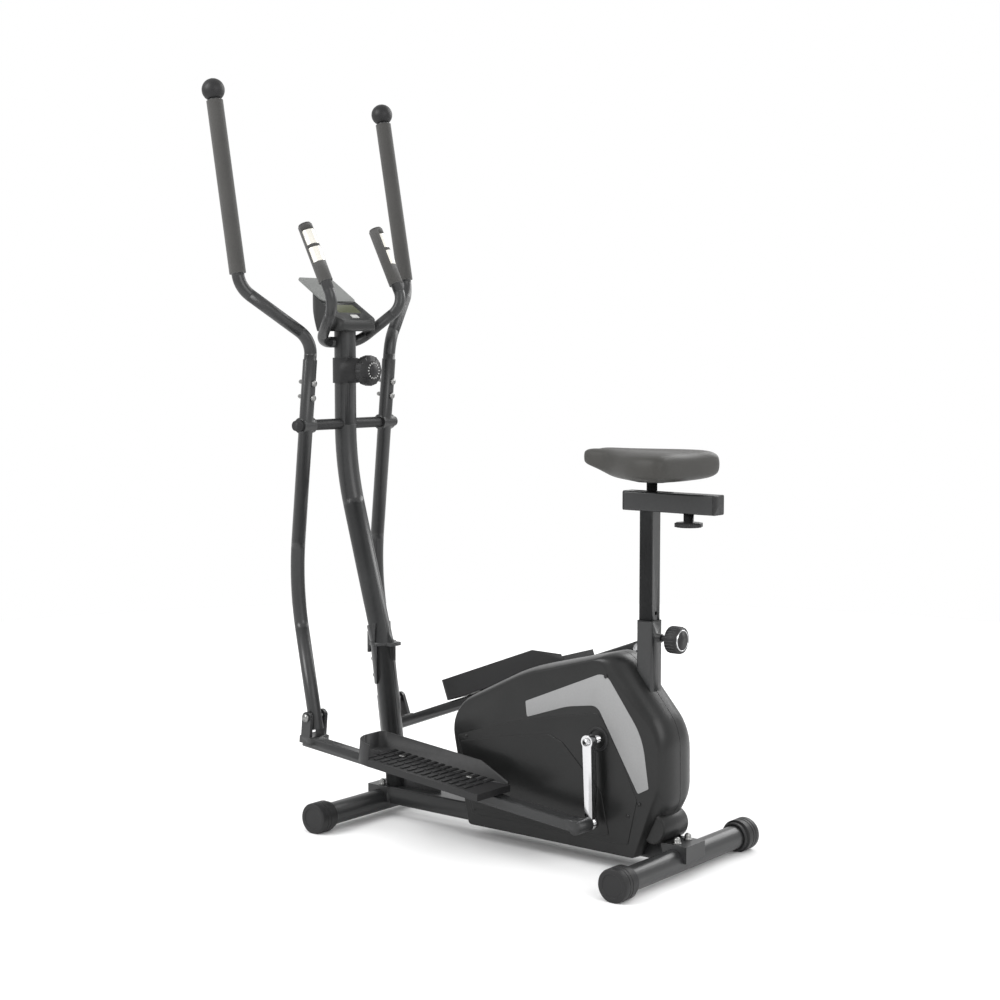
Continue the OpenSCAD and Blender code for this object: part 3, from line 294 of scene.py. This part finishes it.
FINISHES = {
    finish.slot: finish
    for finish in (
        Finish("frame_black", Grain.POWDER, (0.020, 0.0205, 0.021), 0.34, coat=0.06, shine=0.4),
        Finish("trim_black", Grain.MOULDED, (0.012, 0.012, 0.0125), 0.46),
        Finish("zinc", Grain.BRUSHED, (0.24, 0.24, 0.235), 0.36, 1.0, wear=(0.6, 0.6, 0.6)),
        Finish(
            "crank_chrome", Grain.POLISHED, (0.56, 0.56, 0.57),
            0.13, 1.0, mottle=0.06, wear=(0.9, 0.9, 0.9),
        ),
        Finish("foam", Grain.FOAM, (0.046, 0.045, 0.043), 0.86, wear=(0.1, 0.1, 0.095)),
        Finish("footplate_black", Grain.MOULDED, (0.014, 0.014, 0.0145), 0.5),
        Finish("cowl_black", Grain.MOULDED, (0.0085, 0.0087, 0.0087), 0.33, coat=0.04, shine=0.3),
        Finish(
            "inlay_grey", Grain.MOULDED, (0.235, 0.236, 0.237),
            0.42, mottle=0.08, wear=(0.4, 0.4, 0.4),
        ),
        Finish("screw_black", Grain.POWDER, (0.008, 0.008, 0.008), 0.3),
        Finish(
            "pulse_metal", Grain.BRUSHED, (0.74, 0.72, 0.66),
            0.3, 0.6, mottle=0.08, wear=(0.9, 0.9, 0.9),
        ),
        Finish("saddle_vinyl", Grain.VINYL, (0.036, 0.035, 0.032), 0.5, wear=(0.07, 0.07, 0.065)),
        Finish("console_grey", Grain.MOULDED, (0.016, 0.0165, 0.0165), 0.42),
        Finish("lcd", Grain.GLASS, (0.075, 0.082, 0.045), 0.14, coat=0.3, mottle=0.08),
        Finish(
            "button_grey", Grain.MOULDED, (0.45, 0.45, 0.44),
            0.4, mottle=0.08, wear=(0.6, 0.6, 0.6),
        ),
        Finish(
            "tablet_grey", Grain.MOULDED, (0.16, 0.165, 0.16),
            0.4, mottle=0.08, wear=(0.5, 0.5, 0.5),
        ),
        Finish("belt_rubber", Grain.MOULDED, (0.01, 0.01, 0.01), 0.8),
        Finish("pulley_plastic", Grain.MOULDED, (0.015, 0.015, 0.015), 0.5),
        Finish("flywheel_iron", Grain.CAST, (0.1, 0.1, 0.105), 0.45, 0.8),
    )
}


class Workshop:
    """Turns bmeshes into finished pieces."""

    def __init__(self) -> None:
        """Makes every finish once."""
        self.materials = {slot: finish.make() for slot, finish in FINISHES.items()}
        self.body_of = {
            node: body
            for body, nodes in frame["record"]["behaviour"]["bodies"].items()
            for node in nodes
        }

    def finish(
        self,
        name: str,
        shape: bmesh.types.BMesh,
        slot: str,
        body: str,
        stands_for: Iterable[str] = (),
        subdivide: int = 0,
    ) -> bpy.types.Object:
        """Makes a piece of a bmesh.

        Args:
            name: the piece's name.
            shape: its mesh, freed here.
            slot: its material slot.
            body: the CAD body that it rides on.
            stands_for: CAD nodes that it replaces.
            subdivide: levels of subdivision.

        Returns:
            The finished object.
        """
        for face in shape.faces:
            face.smooth = True
        mesh = bpy.data.meshes.new(name)
        shape.to_mesh(mesh)
        shape.free()
        if not subdivide:
            mesh.set_sharp_from_angle(angle=SMOOTH_ANGLE)
        piece = bpy.data.objects.new(name, mesh)
        bpy.context.scene.collection.objects.link(piece)
        piece.data.materials.append(self.materials[slot])
        if subdivide:
            smooth = piece.modifiers.new("smooth", "SUBSURF")
            smooth.levels = smooth.render_levels = subdivide
        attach(piece, body)
        nodes = list(stands_for)
        if nodes:
            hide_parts(*nodes)
        LOG.info("%s rides on %s, %d faces", name, body, len(mesh.polygons))
        return piece

    def dress_frame(self) -> None:
        """Gives every CAD node the finish of its material slot."""
        for part in frame["record"]["subparts"]:
            node = frame["nodes"][part["node"]]
            node.data.materials.clear()
            node.data.materials.append(self.materials[part["material_slot"]])

    def smooth_copy(self, node: str, slot: str) -> bpy.types.Object:
        """Stands a merged, smoothly shaded copy in for a CAD node with round faces.

        Args:
            node: the CAD node.
            slot: its material slot.

        Returns:
            The copy.
        """
        shape = bmesh.new()
        shape.from_mesh(frame["nodes"][node].data)
        bmesh.ops.remove_doubles(shape, verts=shape.verts, dist=WELD)
        return self.finish(node + "_skin", shape, slot, self.body_of[node], [node])


# ---- Shapes ----
def lathe(
    profile: Sequence[tuple[float, float]], at: Vector, axis: Vector, steps: int = 48
) -> bmesh.types.BMesh:
    """Spins a profile round an axis.

    Args:
        profile: (distance along the axis, radius) pairs, in metres, closed if both ends have radius 0.
        at: where the axis starts.
        axis: the axis's direction.
        steps: sides of the round.

    Returns:
        The closed mesh.
    """
    shape = bmesh.new()
    verts = [shape.verts.new((radius, 0, along)) for along, radius in profile]
    edges = [shape.edges.new(pair) for pair in zip(verts, verts[1:])]
    bmesh.ops.spin(
        shape, geom=verts + edges, cent=(0, 0, 0), axis=(0, 0, 1), dvec=(0, 0, 0),
        angle=math.tau, steps=steps, use_merge=True, use_duplicate=False,
    )
    bmesh.ops.remove_doubles(shape, verts=shape.verts, dist=WELD)
    bmesh.ops.recalc_face_normals(shape, faces=shape.faces)
    turn = axis.to_track_quat("Z", "Y").to_matrix().to_4x4()
    bmesh.ops.transform(shape, matrix=Matrix.Translation(at) @ turn, verts=shape.verts)
    return shape


def prism(
    outline: Sequence[tuple[float, float]], thick: float, round_by: float = 0.0, segments: int = 2
) -> bmesh.types.BMesh:
    """Extrudes a flat outline along +Z and rounds its rims.

    Args:
        outline: (x, y) corners in metres.
        thick: the height.
        round_by: radius of the rims' rounding.
        segments: steps of the rounding.

    Returns:
        The closed mesh, its foot on z = 0.
    """
    shape = bmesh.new()
    base = shape.faces.new([shape.verts.new((x, y, 0)) for x, y in outline])
    grown = bmesh.ops.extrude_face_region(shape, geom=[base])["geom"]
    lifted = [item for item in grown if isinstance(item, bmesh.types.BMVert)]
    bmesh.ops.translate(shape, vec=(0, 0, thick), verts=lifted)
    bmesh.ops.recalc_face_normals(shape, faces=shape.faces)
    if round_by:
        rims = [e for e in shape.edges if abs(e.verts[0].co.z - e.verts[1].co.z) < WELD]
        bmesh.ops.bevel(
            shape, geom=rims, offset=round_by, segments=segments, profile=0.5,
            affect="EDGES", material=-1, clamp_overlap=True,
        )
    return shape


def round_corners(
    corners: Sequence[tuple[float, float, float]], steps: int = 8
) -> list[tuple[float, float]]:
    """Replaces each corner (x, y, radius) of an outline by an arc.

    Args:
        corners: the corners in order.
        steps: steps of each arc.

    Returns:
        The rounded outline.
    """
    points = []
    count = len(corners)
    for i, (x, y, radius) in enumerate(corners):
        here = Vector((x, y))
        back = (Vector(corners[i - 1][:2]) - here).normalized()
        ahead = (Vector(corners[(i + 1) % count][:2]) - here).normalized()
        half = math.acos(max(-1.0, min(1.0, back.dot(ahead)))) / 2
        centre = here + (back + ahead).normalized() * radius / math.sin(half)
        first = here + back * radius / math.tan(half) - centre
        last = here + ahead * radius / math.tan(half) - centre
        start = math.atan2(first.y, first.x)
        turn = math.remainder(math.atan2(last.y, last.x) - start, math.tau)
        for k in range(steps + 1):
            angle = start + turn * k / steps
            across, up = radius * math.cos(angle), radius * math.sin(angle)
            points.append((centre.x + across, centre.y + up))
    return points


def to_side(shape: bmesh.types.BMesh, at: Vector, side: int) -> bmesh.types.BMesh:
    """Stands a flat shape up so that its +Z points out of a side of the machine.

    Args:
        shape: a mesh drawn in the XY plane.
        at: where its origin goes.
        side: -1 for the left, 1 for the right.

    Returns:
        The same mesh.
    """
    upright = Matrix(((1, 0, 0, 0), (0, 0, side, 0), (0, 1, 0, 0), (0, 0, 0, 1)))
    bmesh.ops.transform(shape, matrix=Matrix.Translation(at) @ upright, verts=shape.verts)
    bmesh.ops.recalc_face_normals(shape, faces=shape.faces)
    return shape


def joined(shapes: Iterable[bmesh.types.BMesh]) -> bmesh.types.BMesh:
    """Joins several meshes into a new one and frees them."""
    whole = bmesh.new()
    for shape in shapes:
        carrier = bpy.data.meshes.new("carrier")
        shape.to_mesh(carrier)
        shape.free()
        whole.from_mesh(carrier)
        bpy.data.meshes.remove(carrier)
    return whole


def joint(name: str) -> dict:
    """The record's joint of that name."""
    return next(j for j in frame["record"]["behaviour"]["joints"] if j["name"] == name)


# ---- Sub-assemblies ----
@dataclass
class Cowling:
    """The two-part shroud over the flywheel and the crank's drive, smooth where the CAD is layered."""

    shop: Workshop
    half_width: float = 0.057
    flat: float = 0.012
    seam: float = 0.0006
    layers: int = 10
    crown: float = 1.1
    side: tuple = (
        (-346, -237, 8), (-398, 10, 75), (-195, 110, 400), (-6, 164, 25), (148, 20, 110),
        (148, -72, 80), (90, -237, 8),
    )
    centre: tuple = (
        (-356, -237, 8), (-410, 20, 85), (-200, 124, 400), (39, 185, 50), (164, 34, 110),
        (166, -116, 50), (94, -237, 8),
    )
    inlay: tuple = (
        (-186, 22, 4), (-190, 56, 4), (17, 142, 30), (110, 18, 150), (126, -87, 4),
        (100, -101, 4), (-3, 70, 25), (-80, 58, 200),
    )
    panel: tuple = (
        (-378, -42, 8), (-279, -9, 200), (-185, 18, 120), (2, 56, 24), (56, -31, 120),
        (98, -116, 8), (76, -212, 6), (-338, -212, 6),
    )
    recess: tuple = (
        (-370, -54, 8), (-232, -24, 200), (-126, -6, 24), (-89, -20, 30), (10, -112, 14),
        (30, -200, 6), (-334, -200, 6),
    )
    drum: tuple = (126, -171, 34)

    def ring(self, share: float) -> list[tuple[float, float]]:
        """Outline of the shroud at a share of the way from its side to its middle, in metres."""
        corners = [
            tuple(a + (b - a) * share for a, b in zip(low, high))
            for low, high in zip(self.side, self.centre)
        ]
        return [(x * MM, z * MM) for x, z in round_corners(corners)]

    def shell(self, side: int) -> None:
        """Builds one half of the shroud: rings of outline bridged from the seam to the flat side.

        Args:
            side: -1 for the left half, 1 for the right.
        """
        shape = bmesh.new()
        crank = Vector(joint("crank_spin")["pos_m"])
        loops = []
        for i in range(self.layers + 1):
            angle = math.pi / 2 * i / self.layers
            out = self.flat + (self.half_width - self.flat) * math.sin(angle)
            places = [(out, math.cos(angle) ** self.crown)]
            if i == 0:
                places.insert(0, (self.seam, 1.0))
            for y, share in places:
                outline = self.ring(max(share, 0.0))
                verts = [shape.verts.new((crank.x + x, side * y, crank.z + z)) for x, z in outline]
                loops.append([shape.edges.new((a, b)) for a, b in zip(verts, verts[1:] + verts[:1])])
        for low, high in zip(loops, loops[1:]):
            bmesh.ops.bridge_loops(shape, edges=low + high)
        bmesh.ops.edgeloop_fill(shape, edges=loops[-1])
        bmesh.ops.edgeloop_fill(shape, edges=loops[0])
        self.trim(shape)
        bmesh.ops.recalc_face_normals(shape, faces=shape.faces)
        name = "left" if side < 0 else "right"
        self.shop.finish(f"{name}_shroud", shape, "cowl_black", "root", [f"{name}_cowling"])

    def trim(self, shape: bmesh.types.BMesh) -> None:
        """Cuts the foot of a half level with the CAD shroud's foot."""
        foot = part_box("left_cowling")[0].z
        geometry = shape.verts[:] + shape.edges[:] + shape.faces[:]
        cut = bmesh.ops.bisect_plane(
            shape, geom=geometry, dist=WELD, plane_co=(0, 0, foot), plane_no=(0, 0, -1),
            clear_outer=True,
        )
        rim = [item for item in cut["geom_cut"] if isinstance(item, bmesh.types.BMEdge)]
        bmesh.ops.edgeloop_fill(shape, edges=rim)

    def face_plate(self, side: int) -> None:
        """Adds the grey inlay, the raised panels, the low drum and the ring round the crank.

        Args:
            side: -1 for the left, 1 for the right.
        """
        crank = Vector(joint("crank_spin")["pos_m"])
        name = "left" if side < 0 else "right"
        corners = [(x * MM, z * MM) for x, z in round_corners(self.inlay, 10)]
        face = to_side(prism(corners, 0.0024, 0.0009), Vector((crank.x, side * 0.0556, crank.z)), side)
        self.shop.finish(f"{name}_inlay", face, "inlay_grey", "root", ["cowling_inlays"])
        for label, corners, foot in (("side", self.panel, 0.0562), ("lower", self.recess, 0.0580)):
            panel = [(x * MM, z * MM) for x, z in round_corners(corners, 10)]
            at = Vector((crank.x, side * foot, crank.z))
            raised = to_side(prism(panel, 0.0022, 0.0014, 3), at, side)
            self.shop.finish(f"{name}_{label}_panel", raised, "cowl_black", "root")
        x, z, radius = (value * MM for value in self.drum)
        reach = self.half_width - self.flat
        round_end = [
            (0, 0), (0, radius), (reach - 0.006, radius), (reach - 0.002, radius - 0.002),
            (reach, radius - 0.006), (reach - 0.001, radius - 0.010), (reach - 0.001, 0),
        ]
        low = lathe(round_end, Vector((crank.x + x, 0, crank.z + z)), Vector((0, side, 0)))
        self.shop.finish(f"{name}_drum", low, "cowl_black", "root")
        ring = [
            (0.0545, 0.019), (0.0600, 0.019), (0.0616, 0.0205), (0.0616, 0.0245),
            (0.0600, 0.0262), (0.0545, 0.0262), (0.0545, 0.019),
        ]
        boss = lathe(ring, Vector((crank.x, 0, crank.z)), Vector((0, side, 0)))
        self.shop.finish(f"{name}_crank_ring", boss, "trim_black", "root")

    def build(self) -> None:
        """Builds both halves."""
        for side in (LEFT, RIGHT):
            self.shell(side)
            self.face_plate(side)


@dataclass
class Saddle:
    """The padded saddle: a subdivided pad lofted through cross-sections, on a moulded pan.

    A section is the share of the length, half the width, and the heights of top and underside.
    """

    shop: Workshop
    points: int = 20
    sections: tuple = (
        (0.00, 0.024, 0.054, 0.034), (0.03, 0.036, 0.060, 0.027), (0.10, 0.042, 0.0625, 0.022),
        (0.20, 0.044, 0.0628, 0.014), (0.30, 0.050, 0.0628, 0.004), (0.42, 0.070, 0.0628, 0.001),
        (0.56, 0.096, 0.0628, 0.000), (0.70, 0.117, 0.0628, 0.000), (0.84, 0.122, 0.0628, 0.000),
        (0.94, 0.119, 0.0620, 0.001), (0.985, 0.108, 0.056, 0.005), (1.00, 0.092, 0.044, 0.014),
    )

    def ring(self, x: float, half: float, top: float, bottom: float, base: float) -> list[Vector]:
        """One cross-section of the pad.

        Args:
            x: where it stands.
            half: half its width.
            top: height of its crown over the saddle's foot.
            bottom: height of its underside.
            base: height of the saddle's foot.

        Returns:
            Points round the section.
        """
        points = []
        for k in range(self.points):
            angle = math.tau * k / self.points
            across = math.copysign(abs(math.cos(angle)) ** 0.55, math.cos(angle))
            up = math.copysign(abs(math.sin(angle)) ** 0.5, math.sin(angle))
            mid = (top + bottom) / 2
            dip = 0.004 * max(0.0, 1 - abs(across) * 2.2) if up > 0 else 0.0
            height = base + mid + (top - bottom) / 2 * up - dip
            points.append(Vector((x, half * across, height)))
        return points

    def pad(self) -> bmesh.types.BMesh:
        """Bridges the cross-sections into a closed pad and returns it."""
        low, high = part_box("saddle")
        length = high.x - low.x
        shape = bmesh.new()
        loops = []
        for share, half, top, bottom in self.sections:
            inset = 0.002 + share * (length - 0.004)
            ring = self.ring(low.x + inset, half, top, bottom, low.z)
            verts = [shape.verts.new(p) for p in ring]
            loops.append([shape.edges.new((a, b)) for a, b in zip(verts, verts[1:] + verts[:1])])
        for first, second in zip(loops, loops[1:]):
            bmesh.ops.bridge_loops(shape, edges=first + second)
        for loop in (loops[0], loops[-1]):
            bmesh.ops.edgeloop_fill(shape, edges=loop)
        bmesh.ops.recalc_face_normals(shape, faces=shape.faces)
        return shape

    def base_plate(self) -> None:
        """Adds the moulded pan under the pad."""
        low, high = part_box("saddle")
        half = 0.06
        rear = high.x - 0.045
        outline = round_corners(
            (
                (low.x + 0.10, -0.016, 0.006), (low.x + 0.10, 0.016, 0.006),
                (rear - 0.05, half, 0.02), (rear, half, 0.02),
                (rear, -half, 0.02), (rear - 0.05, -half, 0.02),
            )
        )
        pan = prism(outline, 0.008, 0.002)
        bmesh.ops.translate(pan, vec=(0, 0, low.z - 0.001), verts=pan.verts)
        self.shop.finish("saddle_pan", pan, "trim_black", "saddle")

    def build(self) -> None:
        """Builds the pad and its pan."""
        shape = self.pad()
        pad = self.shop.finish(
            "saddle_pad", shape, "saddle_vinyl", "saddle", ["saddle"], subdivide=2
        )
        self.base_plate()


@dataclass
class Footplate:
    """Grip studs on a foot tray, placed from its foot pivot along the tray."""

    shop: Workshop
    name: str
    ribs: int = 15
    pitch: float = 0.0195
    first: float = 0.232
    columns: tuple = (-0.012, 0.022, 0.056)
    stud_half: tuple = (0.0045, 0.0135)
    stud_turn: float = 0.002
    floor_drop: float = 0.0306

    def build(self) -> None:
        """Adds the studs of the tread, lying on the CAD tray's tilted floor."""
        side = LEFT if self.name == "left" else RIGHT
        tray = frame["nodes"][f"{self.name}_footplate"].data
        pivot = Vector(joint(f"{self.name}_pedal_pivot")["pos_m"])
        turn = Matrix.Rotation(self.slope(tray), 4, "Y")
        along, half = self.stud_half
        shapes = []
        for i in range(self.ribs):
            x = self.first + i * self.pitch
            for y in self.columns:
                corners = [
                    (x + a * along, y + b * half, self.stud_turn)
                    for a, b in ((-1, -1), (1, -1), (1, 1), (-1, 1))
                ]
                shapes.append(prism(round_corners(corners, 3), 0.0026, 0.0008))
        tread = joined(shapes)
        bmesh.ops.translate(tread, vec=(0, 0, -self.floor_drop), verts=tread.verts)
        for vert in tread.verts:
            vert.co.y *= side
        bmesh.ops.recalc_face_normals(tread, faces=tread.faces)
        bmesh.ops.transform(tread, matrix=Matrix.Translation(pivot) @ turn, verts=tread.verts)
        self.shop.finish(f"{self.name}_tread", tread, "footplate_black", f"{self.name}_pedal")

    @staticmethod
    def slope(mesh: bpy.types.Mesh) -> float:
        """Turn of a tray about +Y, from its largest upward face."""
        best = max((p for p in mesh.polygons if p.normal.z > 0.7), key=lambda p: p.area)
        return math.atan2(best.normal.x, best.normal.z)


@dataclass
class EndCaps:
    """Round stepped caps on the stabilisers, with moulded grooves."""

    shop: Workshop
    radius: float = 0.0345
    length: float = 0.042

    def build(self) -> None:
        """Builds the four caps in place of the CAD's plain ones."""
        low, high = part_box("stabiliser_caps")
        front, rear = low.x + self.radius, high.x - self.radius
        height = high.z - self.radius
        end = high.y
        profile = [
            (-self.length - 0.010, 0.0252), (-self.length - 0.010, 0.0290),
            (-self.length - 0.008, 0.0305), (-self.length, 0.0305),
            (-self.length + 0.0005, 0.0325), (-self.length + 0.0025, self.radius),
            (-0.026, self.radius), (-0.0255, 0.0335), (-0.0235, 0.0335), (-0.023, self.radius),
            (-0.017, self.radius), (-0.0165, 0.0335), (-0.0145, 0.0335), (-0.014, self.radius),
            (-0.0035, self.radius), (-0.0012, 0.0335), (-0.0002, 0.0318), (0, 0.0295),
            (0, 0.024), (-0.0012, 0.0232), (-0.0012, 0.0),
        ]
        shapes = []
        for x in (front, rear):
            for side in (LEFT, RIGHT):
                cap = lathe(profile, Vector((x, side * end, height)), Vector((0, side, 0)), 64)
                bmesh.ops.bisect_plane(
                    cap, geom=cap.verts[:] + cap.edges[:] + cap.faces[:], dist=WELD / 10,
                    plane_co=(0, 0, 0), plane_no=(0, 0, -1), clear_outer=True,
                )
                shapes.append(cap)
        self.shop.finish("end_caps", joined(shapes), "trim_black", "root", ["stabiliser_caps"])


@dataclass
class Controls:
    """Trim on the tension dial and on the seat's pull knob."""

    shop: Workshop
    tick_count: int = 16
    rib_count: int = 24
    rib_ring: float = 0.0266

    def tension_dial(self) -> None:
        """Adds the dial's black centre cap and its ring of light tick marks."""
        low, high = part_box("tension_knob")
        at = Vector((high.x, 0, (low.z + high.z) / 2))
        corners = (
            (-0.0011, 0.0155, 0.0004), (0.0011, 0.0155, 0.0004),
            (0.0011, 0.0195, 0.0004), (-0.0011, 0.0195, 0.0004),
        )
        ticks = []
        for i in range(self.tick_count):
            angle = math.tau * i / self.tick_count
            tick = prism(round_corners(corners, 2), 0.0008)
            for turn, axis in ((angle, "Z"), (math.pi / 2, "Y")):
                bmesh.ops.rotate(tick, matrix=Matrix.Rotation(turn, 3, axis), verts=tick.verts)
            bmesh.ops.translate(tick, vec=at + Vector((-0.0004, 0, 0)), verts=tick.verts)
            ticks.append(tick)
        self.shop.finish("dial_marks", joined(ticks), "button_grey", "tension_knob")
        profile = [
            (-0.001, 0.0), (-0.001, 0.0132), (0.0012, 0.0132), (0.003, 0.0105), (0.0036, 0.0)
        ]
        cap = lathe(profile, at, Vector((1, 0, 0)))
        self.shop.finish("dial_cap", cap, "trim_black", "tension_knob")

    def seat_knob(self) -> None:
        """Adds a chrome ring and finger ribs to the seat's pull knob."""
        low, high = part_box("seat_pin")
        at = Vector((high.x - 0.003, 0, (low.z + high.z) / 2))
        ring = [
            (-0.0005, 0.0185), (0.0022, 0.0192), (0.0032, 0.0205), (0.0022, 0.0218),
            (-0.0005, 0.0222), (-0.0005, 0.0185),
        ]
        rearward = Vector((1, 0, 0))
        self.shop.finish("seat_knob_ring", lathe(ring, at, rearward), "crank_chrome", "seat_pin")
        bar = [(0, 0), (0, 0.0016), (0.022, 0.0016), (0.022, 0)]
        ribs = []
        for i in range(self.rib_count):
            rib = lathe(bar, Vector(), rearward, 8)
            angle = math.tau * i / self.rib_count
            across, up = self.rib_ring * math.cos(angle), self.rib_ring * math.sin(angle)
            offset = Vector((-0.0245, across, up))
            bmesh.ops.translate(rib, vec=at + offset, verts=rib.verts)
            ribs.append(rib)
        self.shop.finish("seat_knob_ribs", joined(ribs), "trim_black", "seat_pin")

    def build(self) -> None:
        """Builds the controls' trim."""
        self.tension_dial()
        self.seat_knob()


@dataclass
class Studio:
    """Floor, lights and camera."""

    camera_at: tuple[float, float, float] = (2.483, -3.092, 1.085)
    camera_turn: tuple[float, float, float] = (85.05, 0.0, 38.48)
    lens: float = 65.61
    sensor: float = 36.0
    aim: tuple[float, float, float] = (0.0, 0.0, 0.7)
    floor_radius: float = 3.6

    def area(self, name: str, at: Sequence[float], size: float, power: float) -> None:
        """Adds a soft square light aimed at the machine.

        Args:
            name: the light's name.
            at: where it stands.
            size: its side in metres.
            power: its power in watts.
        """
        light = bpy.data.lights.new(name, "AREA")
        light.size = size
        light.energy = power
        lamp = bpy.data.objects.new(name, light)
        lamp.location = at
        ray = Vector(self.aim) - Vector(at)
        lamp.rotation_euler = ray.to_track_quat("-Z", "Y").to_euler()
        bpy.context.scene.collection.objects.link(lamp)

    def build(self) -> None:
        """Builds the stage."""
        shape = bmesh.new()
        bmesh.ops.create_circle(shape, cap_ends=True, segments=96, radius=self.floor_radius)
        mesh = bpy.data.meshes.new("floor")
        shape.to_mesh(mesh)
        shape.free()
        floor = bpy.data.objects.new("floor", mesh)
        bpy.context.scene.collection.objects.link(floor)
        shader = Shader("floor")
        matt = {"Base Color": (0.9, 0.9, 0.9, 1), "Roughness": 0.9}
        surface = shader.node("ShaderNodeBsdfPrincipled", None, matt)
        out = shader.node("ShaderNodeOutputMaterial")
        shader.tree.links.new(surface.outputs[0], out.inputs[0])
        floor.data.materials.append(shader.material)
        world = bpy.data.worlds.new("studio")
        bpy.context.scene.world = world
        world.use_nodes = True
        world.node_tree.nodes["Background"].inputs[0].default_value = (1, 1, 1, 1)
        world.node_tree.nodes["Background"].inputs[1].default_value = 1.0
        self.area("key", (-1.6, -3.2, 3.2), 2.0, 120)
        self.area("fill", (3.6, -1.0, 2.4), 2.4, 60)
        self.area("back", (0.5, 3.4, 2.8), 2.5, 80)
        lens = bpy.data.cameras.new("camera")
        lens.lens = self.lens
        lens.sensor_width = self.sensor
        camera = bpy.data.objects.new("camera", lens)
        camera.location = self.camera_at
        camera.rotation_euler = [math.radians(a) for a in self.camera_turn]
        bpy.context.scene.collection.objects.link(camera)
        bpy.context.scene.camera = camera
        bpy.context.scene.view_settings.view_transform = "Standard"


def main() -> None:
    """Builds the machine's looks, sub-assembly by sub-assembly, and the stage."""
    logging.basicConfig(level=logging.INFO, format="%(message)s")
    Studio().build()
    shop = Workshop()
    shop.dress_frame()
    Cowling(shop).build()
    Saddle(shop).build()
    for name in ("left", "right"):
        Footplate(shop, name).build()
    EndCaps(shop).build()
    Controls(shop).build()
    replaced = {"left_cowling", "right_cowling", "cowling_inlays", "saddle", "stabiliser_caps"}
    for part in frame["record"]["subparts"]:
        if part["node"] not in replaced:
            shop.smooth_copy(part["node"], part["material_slot"])


if __name__ == "__main__":
    main()
